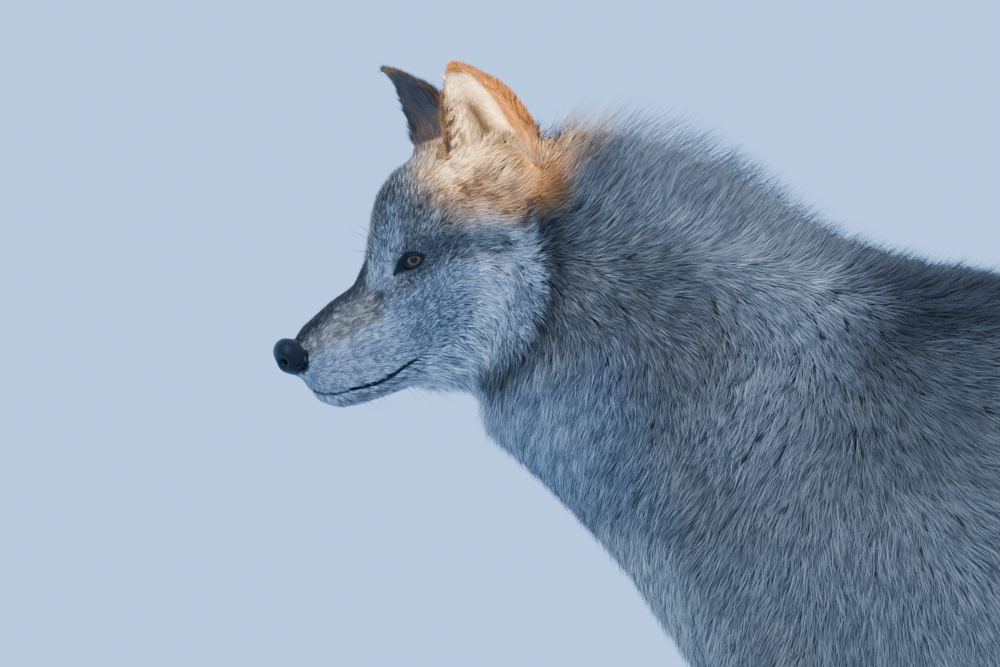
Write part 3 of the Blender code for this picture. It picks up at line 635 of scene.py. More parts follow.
# %% The combing
from_eyes = unit((folded - (-0.004, 0.045, 0.003)) * (1, 0.3, 1))
from_eyes[:, 1] *= np.sign(local[:, 1])
steep = 1 - soft_step(0.25, 0.85, facing_up)
low = 1 - soft_step(0.50, 0.66, height)
rump = soft_step(0.40, 0.66, along)
front = 1 - soft_step(-0.02, 0.14, along)
turn_by_depth = np.interp(below_crest, (0.0, 0.03, 0.07, 0.11, 0.16, 0.22), (42, 50, 88, 135, 180, 212))
turn_by_depth = np.radians(turn_by_depth)
turning = np.stack([0.1 * side, np.sin(turn_by_depth), np.cos(turn_by_depth)], 1)
lie = layered(
    (0, 1, -0.10),
    [
        (steep, body_way(0.1, 1.0, -0.35)),
        (steep * low, body_way(0.0, 0.25, -1.0)),
        (rump * steep, body_way(0.0, 0.5, -1.0)),
        (belly, body_way(0.0, 1.0, -0.2)),
        (front * steep, turning),
        (patch(-0.055, 0.80, 0.085, 0.06), body_way(0.0, 0.12, -1.0)),
        (patch(-0.06, 0.68, 0.10, 0.10), body_way(0.0, -0.45, -0.9)),
        (patch(0.02, 0.58, 0.07, 0.12), body_way(0.0, 0.05, -1.0)),
        (mane, body_way(0.0, 0.62, 0.78)),
        (mane * soft_step(0.0, 0.10, along), body_way(0.0, 1.0, 0.12)),
        (chest, body_way(0.1, -0.35, -1.0)),
        (tail, body_way(0.0, 0.15, -1.0)),
        (leg, body_way(0.0, 0.25, -1.0)),
        (shank, body_way(0.0, 0.12, -1.0)),
        (paw, body_way(0.0, -0.8, -0.6)),
        (nape, turning),
        (face, head_way(-1.0, 0.10, 0.25)),
        (face * soft_step(-0.01, 0.04, local[:, 2]) * (1 - muzzle), head_way(-0.75, 0.35, 0.75)),
        (cheek, head_way(-1.0, 0.25, -0.35)),
        (ruff, head_way(-0.8, 0.35, -0.8)),
        (throat, head_way(-1.0, 0.1, -0.5)),
        (muzzle, head_way(-1.0, 0.10, 0.0)),
        (muzzle * (1 - soft_step(-0.075, -0.045, local[:, 2])), head_way(-1.0, 0.15, -0.40)),
        (streak((-0.052, 0.044, 0.060), (-0.066, 0.066, 0.040), 0.018), head_way(-0.9, 0.4, -0.5)),
        (
            streak((-0.006, 0.045, 0.003), (0.008, 0.036, -0.002), 0.015),
            from_eyes @ HEAD_AXES + head_way(-0.75, 0, 0),
        ),
        (ear_root, head_way(-0.45, 0.1, -0.9)),
        (ear_tuft, head_way(-0.8, 0.6, 0.1)),
        (ear_mask, ear_axis @ HEAD_AXES),
        (ear_front_hair, (0.75 * ear_axis + 0.65 * ear_across) @ HEAD_AXES),
    ],
)
combed = spread(pressed_flat(lie), 5)
calmed = np.clip(ear_root + ear_tuft + 0.95 * ear_back_low + crease, 0, 1)[:, None]
combed += (spread(combed, 26) - combed) * calmed
parting = soft_step(0.04, 0.40, 1 - np.linalg.norm(combed, axis=1))
lie = pressed_flat(combed)
print("corners on a parting, where combings meet:", int((parting > 0.5).sum()))

# %% [markdown]
# The markings are those of a grey wolf. The back is dark, with black tips that gather in a saddle and
# along the mane. The flanks and legs pale towards the ground. The face is pale below a line from the
# nose to the cheek, dark and speckled above it, with light brows, a cream spot before each ear and
# tawny backs to the ears. Skin and hair are both coloured from these same layers, so a marking can't
# slide from one to the other. The colours are those of dry hair, except for painted shade on the skin
# and in the ears, and the lamps add the cold light.

# %% The markings of the body
grain = soft_noise(shell, 0.030, 3)
flecks = soft_noise(shell, 0.011, 5)
back_line = soft_step(0.35, 0.9, facing_up)
mottle = soft_step(0.35, 0.75, grain * 0.5 + flecks * 0.5)
crest_band = band(below_crest, 0.030, 0.016) * (1 - soft_step(-0.02, 0.03, along))
crest_band *= soft_step(-0.24, -0.16, along)
crest_dark = band(below_crest, 0.026, 0.012) * soft_step(-0.05, 0.03, along)
crest_dark *= 1 - soft_step(0.25, 0.4, along)
body_layers = [
    (back_line, "#54514d"),
    (patch(0.10, 0.745, 0.17, 0.080), "#54514c"),
    (patch(0.09, 0.74, 0.18, 0.085) * mottle * 0.5, "#838072"),
    (patch(0.14, 0.60, 0.30, 0.085), "#7d7a73"),
    (patch(0.02, 0.797, 0.045, 0.034, 0.6), "#47413b"),
    (patch(0.075, 0.812, 0.06, 0.016), "#262423"),
    (1 - soft_step(0.42, 0.56, height), "#7d7870"),
    (belly, "#bdb6a8"),
    (np.maximum(neck, nape), "#6d685f"),
    (np.maximum(neck, nape) * mottle, "#898072"),
    (patch(-0.080, 0.812, 0.078, 0.060), "#7a7a78"),
    (patch(-0.08, 0.72, 0.06, 0.05), "#817f7a"),
    (patch(-0.205, 0.745, 0.035, 0.045, 0.8), "#707275"),
    (patch(-0.135, 0.800, 0.045, 0.05, 0.9), "#5f5850"),
    (neck * patch(-0.22, 0.66, 0.07, 0.06), "#747474"),
    (crest_band, "#a7a29a"),
    (chest, "#6f6c66"),
    (chest * patch(-0.182, 0.573, 0.07, 0.075), "#9d998e"),
    (neck * patch(-0.29, 0.71, 0.07, 0.06), "#858788"),
    (mane, "#9f9a92"),
    (mane * soft_step(-0.07, 0.04, along), "#67645e"),
    (crest_dark, "#312e2d"),
    (leg, "#a89a83"),
    (shank, "#b5a992"),
    (tail, "#7c7468"),
    (tail * (1 - soft_step(0.34, 0.42, height)), "#262423"),
]
print(len(body_layers), "layers of colour on the body")

# %% [markdown]
# The head's markings are small, so most of them are streaks between two places on its axes. The pale
# cheek ends at a line that is highest below the eye, and falls towards the nose and the ear. On the
# ear, the height and the distance from its edges place the dark rim in front, the tawny band behind,
# and the cream inside with its dark fold, which is dark hair with painted shade over it. The inner
# side of each ear's back is painted dark, as painted shade.

# %% The markings of the head
CHEEK_LINE_AT = (-0.10, -0.057, -0.040, -0.015, 0.020, 0.060, 0.110)
CHEEK_LINE_UP = (-0.045, -0.033, -0.016, -0.010, -0.018, -0.036, -0.040)
above_cheek_line = local[:, 2] - np.interp(local[:, 0], CHEEK_LINE_AT, CHEEK_LINE_UP)
pale_face = 1 - soft_step(-0.008, 0.008, above_cheek_line)
ear_sides = soft_step(0.66, 0.86, np.abs(ear_edge)) * soft_step(0.1, 0.3, ear_height)
ear_rim = ear_mask * np.maximum(soft_step(0.84, 0.96, ear_height), ear_sides)
# The ear's dark fold: dark hair, with painted shade darkening the fold.
ear_fold_at = np.interp(ear_height, (0.0, 0.3, 0.6, 0.8), (0.06, -0.20, -0.30, -0.30))
ear_fold_hair_and_shade = band(ear_edge, ear_fold_at, 0.30) * (1 - soft_step(0.50, 0.72, ear_height))
rear_edge_from = np.interp(ear_height, (0.0, 0.3, 0.6, 0.9), (0.26, 0.36, 0.42, 0.34))
ear_gold = ear_mask * ear_inside * soft_step(-0.08, 0.08, ear_edge - rear_edge_from)
ear_gold = np.maximum(ear_gold, ear_mask * soft_step(0.82, 0.90, ear_height))
under_lip = band(above_mouth(local), -0.009, 0.004) * (local[:, 0] < 0.10)
head_layers = [
    (face, "#a49481"),
    (face * mottle * (1 - muzzle), "#bfb19e"),
    (pale_face * face, "#d6dce1"),
    (pale_face * muzzle, "#abb3ba"),
    (ruff, "#a1a6a7"),
    (collar, "#474641"),
    (throat, "#c8c7c2"),
    (gullet, "#b6b8b8"),
    (streak((0.040, 0.0, 0.000), (0.105, 0.0, -0.020), 0.019), "#3d3630"),
    (streak((0.045, 0.028, -0.024), (0.078, 0.024, -0.022), 0.010), "#938573"),
    (streak((0.031, 0.028, -0.005), (0.034, 0.026, -0.014), 0.006), "#4f4039"),
    (streak((0.012, 0.030, 0.026), (0.024, 0.027, 0.006), 0.016), "#f5f7f6"),
    (streak((0.012, 0.030, 0.026), (-0.006, 0.027, 0.048), 0.008) * 0.7, "#bbb9b4"),
    (streak((-0.090, 0.085, 0.004), (-0.106, 0.088, -0.010), 0.014), "#b0b1b0"),
    (streak((-0.024, 0.044, 0.038), (-0.050, 0.062, 0.026), 0.014) * 0.5, "#756a5c"),
    (streak((-0.014, 0.050, 0.004), (0.004, 0.042, 0.001), 0.013), "#5e5c5a"),
    (streak((-0.018, 0.058, 0.006), (-0.062, 0.086, -0.004), 0.010), "#6c6965"),
    (streak((-0.068, 0.052, 0.056), (-0.092, 0.082, 0.024), 0.022), "#5d5348"),
    (streak((-0.066, 0.046, 0.070), (-0.084, 0.066, 0.046), 0.016), "#80766a"),
    (streak((-0.044, 0.036, 0.069), (-0.060, 0.056, 0.049), 0.012), "#dfc398"),
    (streak((-0.066, 0.066, 0.044), (-0.092, 0.086, 0.020), 0.014), "#5d544a"),
    (streak((-0.080, 0.080, 0.016), (-0.094, 0.094, 0.002), 0.013) * 0.8, "#6f5a3e"),
    (nape_crest, "#736f69"),
    (ear_root, "#7a5a34"),
    (ear_tuft, "#80623c"),
    (streak((-0.110, 0.047, 0.060), (-0.105, 0.060, 0.045), 0.009) * 0.9, "#2e2822"),
    (chin, "#b4b6b8"),
    (chin * under_lip, "#77706a"),
    (ear_back, "#755024"),
    (ear_back * soft_step(0.0, 0.5, -ear_edge), "#6b5a49"),
    # Painted shade: the inner side of each ear's back is painted near black, as if in shade.
    (ear_back * medial, "#2e2f31"),
    (ear_mask * ear_inside, "#f7ebd6"),
    (ear_front_hair * (1 - soft_step(0.42, 0.62, ear_height)) * 0.35, "#8b7f72"),
    # Painted shade: the fold inside the ear is painted near black, dark hair and shade together.
    (ear_mask * ear_inside * ear_fold_hair_and_shade, "#1d1915"),
    (ear_gold, "#7c5722"),
    (ear_rim * soft_step(0.3, 0.7, ear_edge), "#7a5524"),
    (ear_rim * soft_step(0.6, 0.9, -ear_edge) * (1 - soft_step(0.85, 0.95, ear_height)), "#3c342c"),
]
FLANK_GREY = "#6f6a62"
colour_layers = [(mask, linear(colour)) for mask, colour in body_layers + head_layers]
COLOURS = spread(layered(linear(FLANK_GREY), colour_layers), 1)
print(len(colour_layers), "layers of colour in all")

# %% [markdown]
# The lids and lips are drawn as outlines on the side of the head: a row of corners, and a function that
# says how far inside it a point is. The opening of a wolf's eye is small and slants, and its black rim
# runs on below the inner corner as a tear line. The skin closes over the eyeball round that opening.

# %% Outlines of the eye
EYE_SHIFT = np.array((-0.0015, 0.0, 0.0015))
EYE_RADIUS = (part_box("eye_left")[1][2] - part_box("eye_left")[0][2]) / 2
OPENING = np.array((
    (-10.6, 2.8), (-7.6, 4.3), (-4.7, 5.3), (-0.8, 6.1), (2.0, 5.3), (3.2, 3.0), (2.6, 0.7),
    (0.6, -0.9), (-3.6, -1.1), (-8.3, 0.8),
)) / 1000
BLACK_RIM = np.array((
    (-14.4, 3.4), (-9.9, 7.2), (-6.1, 10.3), (-1.6, 12.0), (2.8, 11.4), (8.1, 7.3), (13.2, 2.3),
    (16.6, -0.6), (17.4, -4.8), (12.9, -2.2), (6.8, -3.1), (-0.2, -3.4), (-5.9, -2.4), (-11.4, 1.0),
)) / 1000


def inside_outline(points, outline):
    """Distance of flat points inside a closed outline, negative outside: the nearest edge counts, and
    a point is inside when a line from it crosses the outline an odd number of times."""
    start, end = outline, np.roll(outline, -1, axis=0)
    run = end - start
    to_start = points[:, None] - start
    share = np.clip((to_start * run).sum(2) / (run**2).sum(1), 0, 1)
    away = np.linalg.norm(to_start - share[..., None] * run, axis=2).min(1)
    level = (start[:, 1] > points[:, 1:2]) != (end[:, 1] > points[:, 1:2])
    crossing_at = start[:, 0] + (points[:, 1:2] - start[:, 1]) * run[:, 0] / (run[:, 1] + 1e-15)
    odd = (level & (points[:, 0:1] < crossing_at)).sum(1) % 2
    return np.where(odd == 1, away, -away)


def eye_centre(word):
    """An eyeball's middle in the head's frame."""
    return to_head(LEFT_EYE if word == "left" else RIGHT_EYE) + EYE_SHIFT


print("opening of the eye:", round(np.ptp(OPENING[:, 0]) * 1000, 1), "mm long")

# %% [markdown]
# The skin is the coat's surface moved in by the depth of the coat. The lips get a groove and a black
# edge, and the hair beside them stays short. Round each eye the skin is drawn onto a ball one lid's
# thickness wider than the eyeball, and within the opening it dips behind the eyeball. Under the nose
# pad it sinks, so that the pad covers it. Lids could also be modelled as pieces of their own, but one
# skin has no seam to hide.

# %% Skin inside the coat, with lips
LIP_DEPTH, LIP_SWELL = 0.0024, 0.0006
NO_LIMIT = 0.1
over_lip = above_mouth(local)
lip_span = soft_step(0.020, 0.030, local[:, 0]) * head * (np.abs(local_normals[:, 1]) > 0.12)
lip_groove = band(over_lip, 0, 0.0014) * lip_span
lip_width = np.interp(local[:, 0], (0.024, 0.040, 0.090, 0.115), (0.0048, 0.0054, 0.0028, 0.0022))
lip_black = (1 - soft_step(0.0004, 0.0022, over_lip)) * (1 - soft_step(0.6, 1.2, -over_lip / lip_width))
lip_black *= lip_span
lip_hair = 0.0038 + 0.9 * np.abs(over_lip) + 0.003 * soft_step(0.05, 0.09, local[:, 0])
hair_room = np.where((lip_span > 0.2) & (over_lip > 0), lip_hair, NO_LIMIT)
skin_points = shell - normals * depth[:, None]
skin_points -= normals * (lip_groove * LIP_DEPTH)[:, None]
skin_points += normals * (lip_black * (1 - lip_groove) * LIP_SWELL)[:, None]
print("lips:", int((lip_black > 0.5).sum()), "corners")

# %% Lids over the eyeballs
LID_THICK, LID_EDGE_SWELL, BEHIND_EYE = 0.0011, 0.0004, 0.0035
rim = np.zeros(COUNT)
for word in ("left", "right"):
    middle = eye_centre(word)
    here = to_head(skin_points)
    from_eye = here - middle
    far = np.linalg.norm(from_eye, axis=1)
    near = (far < 0.028) & (from_eye[:, 1] * np.sign(middle[1]) > 0.002)
    within = inside_outline(here[near][:, (0, 2)], OPENING)
    opening = soft_step(-0.0002, 0.0005, within)
    lid = 1 - soft_step(0.0010, 0.0085, -within)
    lid_reach = EYE_RADIUS + LID_THICK + LID_EDGE_SWELL * band(within, -0.0012, 0.0008)
    target = far[near] + (lid_reach - far[near]) * lid
    target += (EYE_RADIUS - BEHIND_EYE - target) * opening
    moved = from_eye[near] / far[near][:, None] * target[:, None] + middle
    skin_points[near] = from_head(moved)
    same_side = local[:, 1] * np.sign(middle[1]) > 0.012
    round_eye = (np.hypot(*(local - middle)[:, (0, 2)].T) < 0.032) & same_side
    past_rim = inside_outline(local[round_eye][:, (0, 2)], BLACK_RIM)
    rim[round_eye] = np.maximum(rim[round_eye], soft_step(-0.0008, 0.0006, past_rim))
    towards_eye = -((lie @ HEAD_AXES.T)[round_eye] * from_eyes[round_eye]).sum(1)
    free = 0.0045 + 1.2 * np.maximum(-past_rim, 0)
    held = 0.0020 + 0.8 * np.maximum(-past_rim, 0)
    room = free + (held - free) * soft_step(-0.2, 0.4, towards_eye)
    hair_room[round_eye] = np.minimum(hair_room[round_eye], room)
print("black rims of the eyes:", int((rim > 0.5).sum()), "corners")

# %% A seat for the nose, and where the skin is bare
NOSE_MIDDLE = np.array((0.1175, 0, -0.0325))
NOSE_HALF = np.array((0.0150, 0.0178, 0.0172))
NOSE_SINK = 0.0035
ROOT_SMOOTHING = 40
nose_reach = np.linalg.norm((local - NOSE_MIDDLE) / NOSE_HALF, axis=1)
nose_reach += 0.35 * soft_step(0.2, 0.7, local_normals[:, 2]) * (1 - soft_step(0.110, 0.121, local[:, 0]))
at_nose = 1 - soft_step(1.03, 1.14, nose_reach)
sunk = np.maximum(1 - soft_step(1.0, 1.3, nose_reach), streak((0.118, 0, -0.057), (0.123, 0, -0.054), 0.010))
skin_points -= normals * (sunk * NOSE_SINK)[:, None]
soft_spot = np.clip(ear_root + ear_tuft + 0.9 * crease, 0, 1)[:, None]
skin_points += (spread(skin_points, ROOT_SMOOTHING) - skin_points) * soft_spot
out_ways = unit(normals + (spread(normals, ROOT_SMOOTHING) - normals) * soft_spot)
skin.data.vertices.foreach_set("co", skin_points.ravel())
skin.data.update()
bare = np.maximum.reduce([rim, lip_black, at_nose, lip_groove])
sole = (1 - soft_step(0.003, 0.008, shell[:, 2])) * soft_step(0.3, 0.7, -facing_up)
length = np.minimum(length, hair_room)
print("skin inside the coat:", COUNT, "corners")

# %% [markdown]
# Skin shows only at the lids, the lips and where the coat is thinnest, so it carries the coat's own
# markings darkened as painted shade, with black rims. Its bump is the fine grain of close hair, one
# crest each millimetre or so, drawn along all directions because the coat above it gives the direction.

# %% The skin's finish
RIM_BLACK = linear("#0d0c0d")
# Painted shade: the skin takes the coat's colours darkened, as the shade under the coat.
UNDER_COAT_SHADE = 0.42
skin_colour = COLOURS * UNDER_COAT_SHADE
nose_edge = 1 - soft_step(1.30, 1.52, nose_reach)
black = np.clip(np.maximum.reduce([bare, nose_edge, sole]), 0, 1)[:, None]
skin_colour += (RIM_BLACK - skin_colour) * black


def paint(mesh, name, colours):
    """One linear colour for each corner point of a mesh."""
    layer = mesh.color_attributes.new(name, "FLOAT_COLOR", "POINT")
    filled = np.ones((len(colours), 4), np.float32)
    filled[:, :3] = colours
    layer.data.foreach_set("color", filled.ravel())


# The markings layer holds the coat's colours in painted shade, with black rims.
paint(skin.data, "markings", skin_colour)
paint(skin.data, "wet", np.repeat(np.clip(bare, 0, 1)[:, None], 3, axis=1))
skin.data.polygons.foreach_set("use_smooth", np.ones(len(skin.data.polygons), bool))
skin_finish, tree, shader = new_material("close fur on skin", 0.7, Specular_IOR_Level=0.14)
painted_by(tree, shader, "markings")
space = add_node(tree, "ShaderNodeTexCoord")
fuzz = add_node(tree, "ShaderNodeTexNoise", {"Scale": 900, "Detail": 2}, {"Vector": space.outputs["Object"]})
wet = add_node(tree, "ShaderNodeAttribute", {"attribute_name": "wet"})
gloss = add_node(tree, "ShaderNodeMapRange", {"To Min": 0.75, "To Max": 0.36}, {"Value": wet.outputs["Fac"]})
tree.links.new(gloss.outputs["Result"], shader.inputs["Roughness"])
grained_by(tree, shader, fuzz.outputs["Fac"], strength=0.35, distance=0.0006)
skin.data.materials.clear()
skin.data.materials.append(skin_finish)
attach(skin, "root")
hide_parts(*FLESH)
print("skin:", len(skin.data.polygons), "faces in place of", len(FLESH), "solids")

# %% [markdown]
# Each blade of the coat is a thin tapered strip, and stands for a few hairs that cling together. Its
# root is drawn at random on a triangle of the skin, more often where the coat is dense. Short hair is
# one triangle. Long hair is two, with a bend between them: it leaves the skin steeply, then lies over
# in the coat's direction, so that the tips together make the coat's surface.

# %% Roots of the hairs
SHORT = 0.0135
rng = np.random.default_rng(11)
skin_corners = skin_points[triangles]
areas = 0.5 * np.linalg.norm(
    np.cross(skin_corners[:, 1] - skin_corners[:, 0], skin_corners[:, 2] - skin_corners[:, 0]), axis=1
)
growing = number * (1 + 0.7 * parting) * (1 + 1.5 * soft_step(0.006, 0.002, hair_room))
growing *= 1 - soft_step(0.35, 0.85, bare)
growing *= (shell[:, 2] >= 0.004) & (nose_reach > 1.03)
filled_to = np.cumsum(areas * 1e6 * growing[triangles].mean(1))
ROOTS = int(filled_to[-1])
chosen = np.searchsorted(filled_to, (np.arange(ROOTS) + rng.random(ROOTS)) * filled_to[-1] / ROOTS)
chosen = np.minimum(chosen, len(triangles) - 1)
pair = rng.random((ROOTS, 2))
folded_over = pair.sum(1) > 1
pair[folded_over] = 1 - pair[folded_over]
shares = np.stack([1 - pair.sum(1), pair[:, 0], pair[:, 1]], 1)


def at_roots(values):
    """A field of the skin's corners, blended to the roots."""
    corner_values = np.asarray(values)[triangles[chosen]]
    if corner_values.ndim == 2:
        return (corner_values * shares).sum(1)
    return (corner_values * shares[:, :, None]).sum(1)


root = at_roots(skin_points)
out = unit(at_roots(out_ways))
way = at_roots(lie)
way = unit(way - out * (way * out).sum(1, keepdims=True))
reach = at_roots(length)
deep = at_roots(depth)
broad = at_roots(width)
tipped = at_roots(dark_tips)
standing, proudly, variety = at_roots(stand + 0.25 * parting), at_roots(proud), at_roots(varied)
crown = at_roots(fringe)
tone = at_roots(COLOURS)
print(ROOTS, "blades,", int((reach < SHORT).sum()), "of them short")

# %% [markdown]
# Neighbouring hairs cling together as a lock, so each blade is pulled a little towards its lock's
# centre. About one in six is a guard hair, which is longer, thinner and stands further out. Each blade
# rises by the depth of the coat there and runs flat for the rest of its length, as in a right triangle.

# %% Locks and guard hairs
LOCK_SIZES = (0.0034, 0.008, 0.014)
LONG = 0.034
GUARD_SHARE = 0.16
lock_size = np.where(reach > LONG, LOCK_SIZES[2], np.where(reach > SHORT, LOCK_SIZES[1], LOCK_SIZES[0]))
centres = np.zeros_like(root)
lock = np.zeros(ROOTS)
for size in LOCK_SIZES:
    mine = lock_size == size
    centres[mine], lock[mine] = lock_centres(root[mine], size, int(size * 1e5))
guard = rng.random(ROOTS) < GUARD_SHARE
luck = rng.random((ROOTS, 5))
crown *= guard & (luck[:, 4] < 0.5)
stray = (soft_noise(root, 0.035, 21) - 0.5) * 0.7 + (lock - 0.5) * 0.6 + (luck[:, 0] - 0.5) * 0.4
sideways = np.cross(out, way)
way = way * np.cos(stray)[:, None] + sideways * np.sin(stray)[:, None]
print(int(guard.sum()), "guard hairs")

# %% How far each blade rises and runs
LONG_PULL, SHORT_PULL = 0.26, 0.12
BEND_ALONG, BEND_UP, BEND_PULL = 0.42, 0.62, 0.35
CLEAR_OF_FLOOR, FOOT_SINK = 0.0012, 0.0006
MOST_ROLL = math.radians(110)
hair = reach * (0.80 + 0.35 * luck[:, 1]) * np.where(guard, 1.12, 0.92) * (0.9 + 0.2 * lock) + crown * 1.3
rise = deep * np.where(guard, 0.85 + 0.35 * luck[:, 2], 0.50 + 0.30 * luck[:, 2] + 0.12 * lock)
rise = rise * standing + proudly * (0.5 + 0.6 * luck[:, 2]) + crown * (0.5 + 0.6 * luck[:, 0])
rise = np.minimum(rise, hair * 0.93)
flat_run = np.sqrt(hair**2 - rise**2)
pull = centres - root
pull -= out * (pull * out).sum(1, keepdims=True)
pull *= np.where(reach > SHORT, LONG_PULL, SHORT_PULL)[:, None]
tip = root + way * flat_run[:, None] + out * rise[:, None] + pull
bend = root + way * (flat_run * BEND_ALONG)[:, None] + out * (rise * BEND_UP)[:, None] + pull * BEND_PULL
for places in (tip, bend):
    places[:, 2] = np.maximum(places[:, 2], CLEAR_OF_FLOOR)
foot = root - out * FOOT_SINK
roll = (luck[:, 3] - 0.5) * MOST_ROLL
across_way = unit(np.cross(tip - foot, out))
over_way = unit(np.cross(across_way, tip - foot))
flat_way = across_way * np.cos(roll)[:, None] + over_way * np.sin(roll)[:, None]
half = broad * (0.7 + 0.6 * luck[:, 4]) * np.where(guard, 0.38, 0.5)
print("blades rise", round(rise.mean() * 1000, 1), "mm on average")

# %% [markdown]
# A wolf's hair is banded: grey at the root, pale in the middle, and often black at the tip. Blades
# therefore carry three tones, as colours on their corners, which need no picture and no unwrap. Some
# locks are darker than their neighbours, and single blades differ too, which gives the speckle of the
# face and the brindled look of the back.

# %% The tones of each blade
DARK_LOCKS, LOCK_DARKENING = 0.40, 0.86
DARK_TIP = linear("#121112")
fleck = np.exp((rng.random(ROOTS) - 0.5) * variety + (lock - 0.5) * 0.85 * variety)[:, None]
fleck *= 1 - LOCK_DARKENING * (at_roots(streaky) * (lock < DARK_LOCKS))[:, None]
short = reach < SHORT
by_lock = (lock - 0.5) * np.minimum(tipped, 0.5) * 1.6 * np.minimum(variety, 1)
is_tipped = rng.random(ROOTS) < tipped + by_lock
is_tipped |= crown > 0.004
tone = np.clip(tone * fleck, 0, 0.92)
dark_hair = is_tipped[:, None]
root_tone = tone * np.where(dark_hair & short[:, None], 0.40, 0.70)
bend_tone = np.where(dark_hair, tone * 0.66 + DARK_TIP * 0.2, tone)
tip_tone = np.where(dark_hair, tone * 0.08 + DARK_TIP * 0.9, np.clip(tone * 1.28, 0, 0.95))
print(int(is_tipped.sum()), "dark tips")

# %% [markdown]
# The coat is cut into pieces by parts of the body. Each piece is unwrapped round its own middle line,
# as a sleeve is slit and laid flat. A blade's patch on that map sits at its root, a few thousandths
# across, so that a baked picture of the coat gives each blade the colour of its own place.

# %% Pieces of the coat
PATCH = 0.003
SLEEVE_ROWS = 24
TRUNK_SHARE = 0.42
UP = np.array((0, 0, 1.0))
COAT_PARTS = {
    "head": (at_roots(head * (1 - ear_mask)), HEAD_FORWARD, "coat_head"),
    "ears": (at_roots(head * ear_mask), HEAD_UP, "coat_ear"),
    "neck": (at_roots(neck * (1 - head)), np.array((0, 0.6, -0.8)), "coat_neck"),
    "tail": (at_roots(tail), UP, "coat_tail"),
    "forelegs": (at_roots(leg * (along < 0.25)), UP, "coat_foreleg"),
    "hindlegs": (at_roots(leg * (along >= 0.25)), UP, "coat_hindleg"),
    "trunk": (np.full(ROOTS, TRUNK_SHARE), np.array((0, 1.0, 0)), "coat_trunk"),
}
belongs = np.argmax(np.stack([part[0] for part in COAT_PARTS.values()]), 0)


def unwrapped(points, axis):
    """Places on a slit sleeve: the turn round the points' middle line, and the way along it."""
    way_along = points @ axis
    place_along = (way_along - way_along.min()) / (np.ptp(way_along) + 1e-9)
    row = np.minimum((place_along * SLEEVE_ROWS).astype(int), SLEEVE_ROWS - 1)
    filled = np.maximum(np.bincount(row, minlength=SLEEVE_ROWS), 1)
    line = np.stack([np.bincount(row, points[:, k], SLEEVE_ROWS) / filled for k in range(3)], 1)
    from_line = points - line[row]
    first = unit(np.cross(axis, (0.0, 0.9, 0.4)))
    second = np.cross(axis, first)
    turn = np.arctan2(from_line @ first, from_line @ second) / (2 * math.pi) + 0.5
    return np.stack([turn, place_along], 1) * (1 - 4 * PATCH) + 2 * PATCH


print("blades of each part:", dict(zip(COAT_PARTS, np.bincount(belongs).tolist())))

# %% One piece of the coat
coat_finish, tree, shader = new_material(
    "wolf guard hair", 0.62, Specular_IOR_Level=0.30, Sheen_Weight=0.10, Sheen_Roughness=0.5
)
painted_by(tree, shader, "tone")


def mesh_from(name, points, faces):
    """A smooth mesh from arrays of corner places and of triangles."""
    mesh = bpy.data.meshes.new(name)
    mesh.vertices.add(len(points))
    mesh.vertices.foreach_set("co", points.ravel())
    mesh.loops.add(faces.size)
    mesh.loops.foreach_set("vertex_index", faces.ravel())
    mesh.polygons.add(len(faces))
    mesh.polygons.foreach_set("loop_start", np.arange(0, faces.size, faces.shape[1]))
    mesh.polygons.foreach_set("use_smooth", np.ones(len(faces), bool))
    mesh.update(calc_edges=True)
    return mesh


def coat_piece(name, k, axis):
    """One mesh of the blades numbered k. A short blade's corners are two at the foot and one at the
    tip. A long blade's are one at the foot, two at the bend and one at the tip."""
    few, many = k[short[k]], k[~short[k]]
    wide, wide_bend = flat_way[few] * half[few][:, None], flat_way[many] * half[many][:, None]
    points = np.concatenate([
        foot[few] - wide, foot[few] + wide, tip[few],
        foot[many], bend[many] - wide_bend, bend[many] + wide_bend, tip[many],
    ])
    one, two = np.arange(len(few)), 3 * len(few) + np.arange(len(many))
    step, leap = len(few), len(many)
    faces = np.concatenate([
        np.stack([one, one + step, one + 2 * step], 1),
        np.stack([two, two + 2 * leap, two + leap], 1),
        np.stack([two + leap, two + 2 * leap, two + 3 * leap], 1),
    ])
    mesh = mesh_from(name, points, faces)
    paint(mesh, "tone", np.concatenate([
        root_tone[few], root_tone[few], tip_tone[few],
        root_tone[many], bend_tone[many], bend_tone[many], tip_tone[many],
    ]))
    flat = unwrapped(root[k], axis)
    flat_few, flat_many = flat[short[k]], flat[~short[k]]
    left, right, top = np.array(((-0.5, -0.5), (0.5, -0.5), (0, 0.5))) * PATCH
    spots = np.concatenate([
        flat_few + left, flat_few + right, flat_few + top,
        flat_many - top, flat_many + (left[0], 0), flat_many + (right[0], 0), flat_many + top,
    ])
    layer = mesh.uv_layers.new(name="OFBake")
    layer.data.foreach_set("uv", spots[faces.ravel()].astype(np.float32).ravel())
    piece = new_object(name, mesh)
    mesh.materials.append(coat_finish)
    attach(piece, "root")
    return len(faces)


print("finish of the coat:", coat_finish.name)
# %% [markdown]
# A part that is too large for one piece is cut again, by the turn round its middle line, into slices
# with about equal numbers of triangles. That keeps every mesh light enough to be handed on whole.

# %% Making the pieces
MOST_TRIANGLES = 185000
total = 0
for order, (part, (_, axis, slot_name)) in enumerate(COAT_PARTS.items()):
    members = np.flatnonzero(belongs == order)
    cost = np.where(short[members], 1, 2)
    pieces = int(np.ceil(cost.sum() / MOST_TRIANGLES))
    turn = unwrapped(root[members], axis)[:, 0]
    ranked = members[np.argsort(turn, kind="stable")]
    running = np.cumsum(np.where(short[ranked], 1, 2))
    share = np.minimum((running / (running[-1] + 1) * pieces).astype(int), pieces - 1)
    for turn_number in range(pieces):
        made = coat_piece(f"coat_{part}_{turn_number + 1}", ranked[share == turn_number], axis)
        total += made
        print("coat", part, turn_number + 1, made, "triangles")
print("coat in all:", total, "triangles")

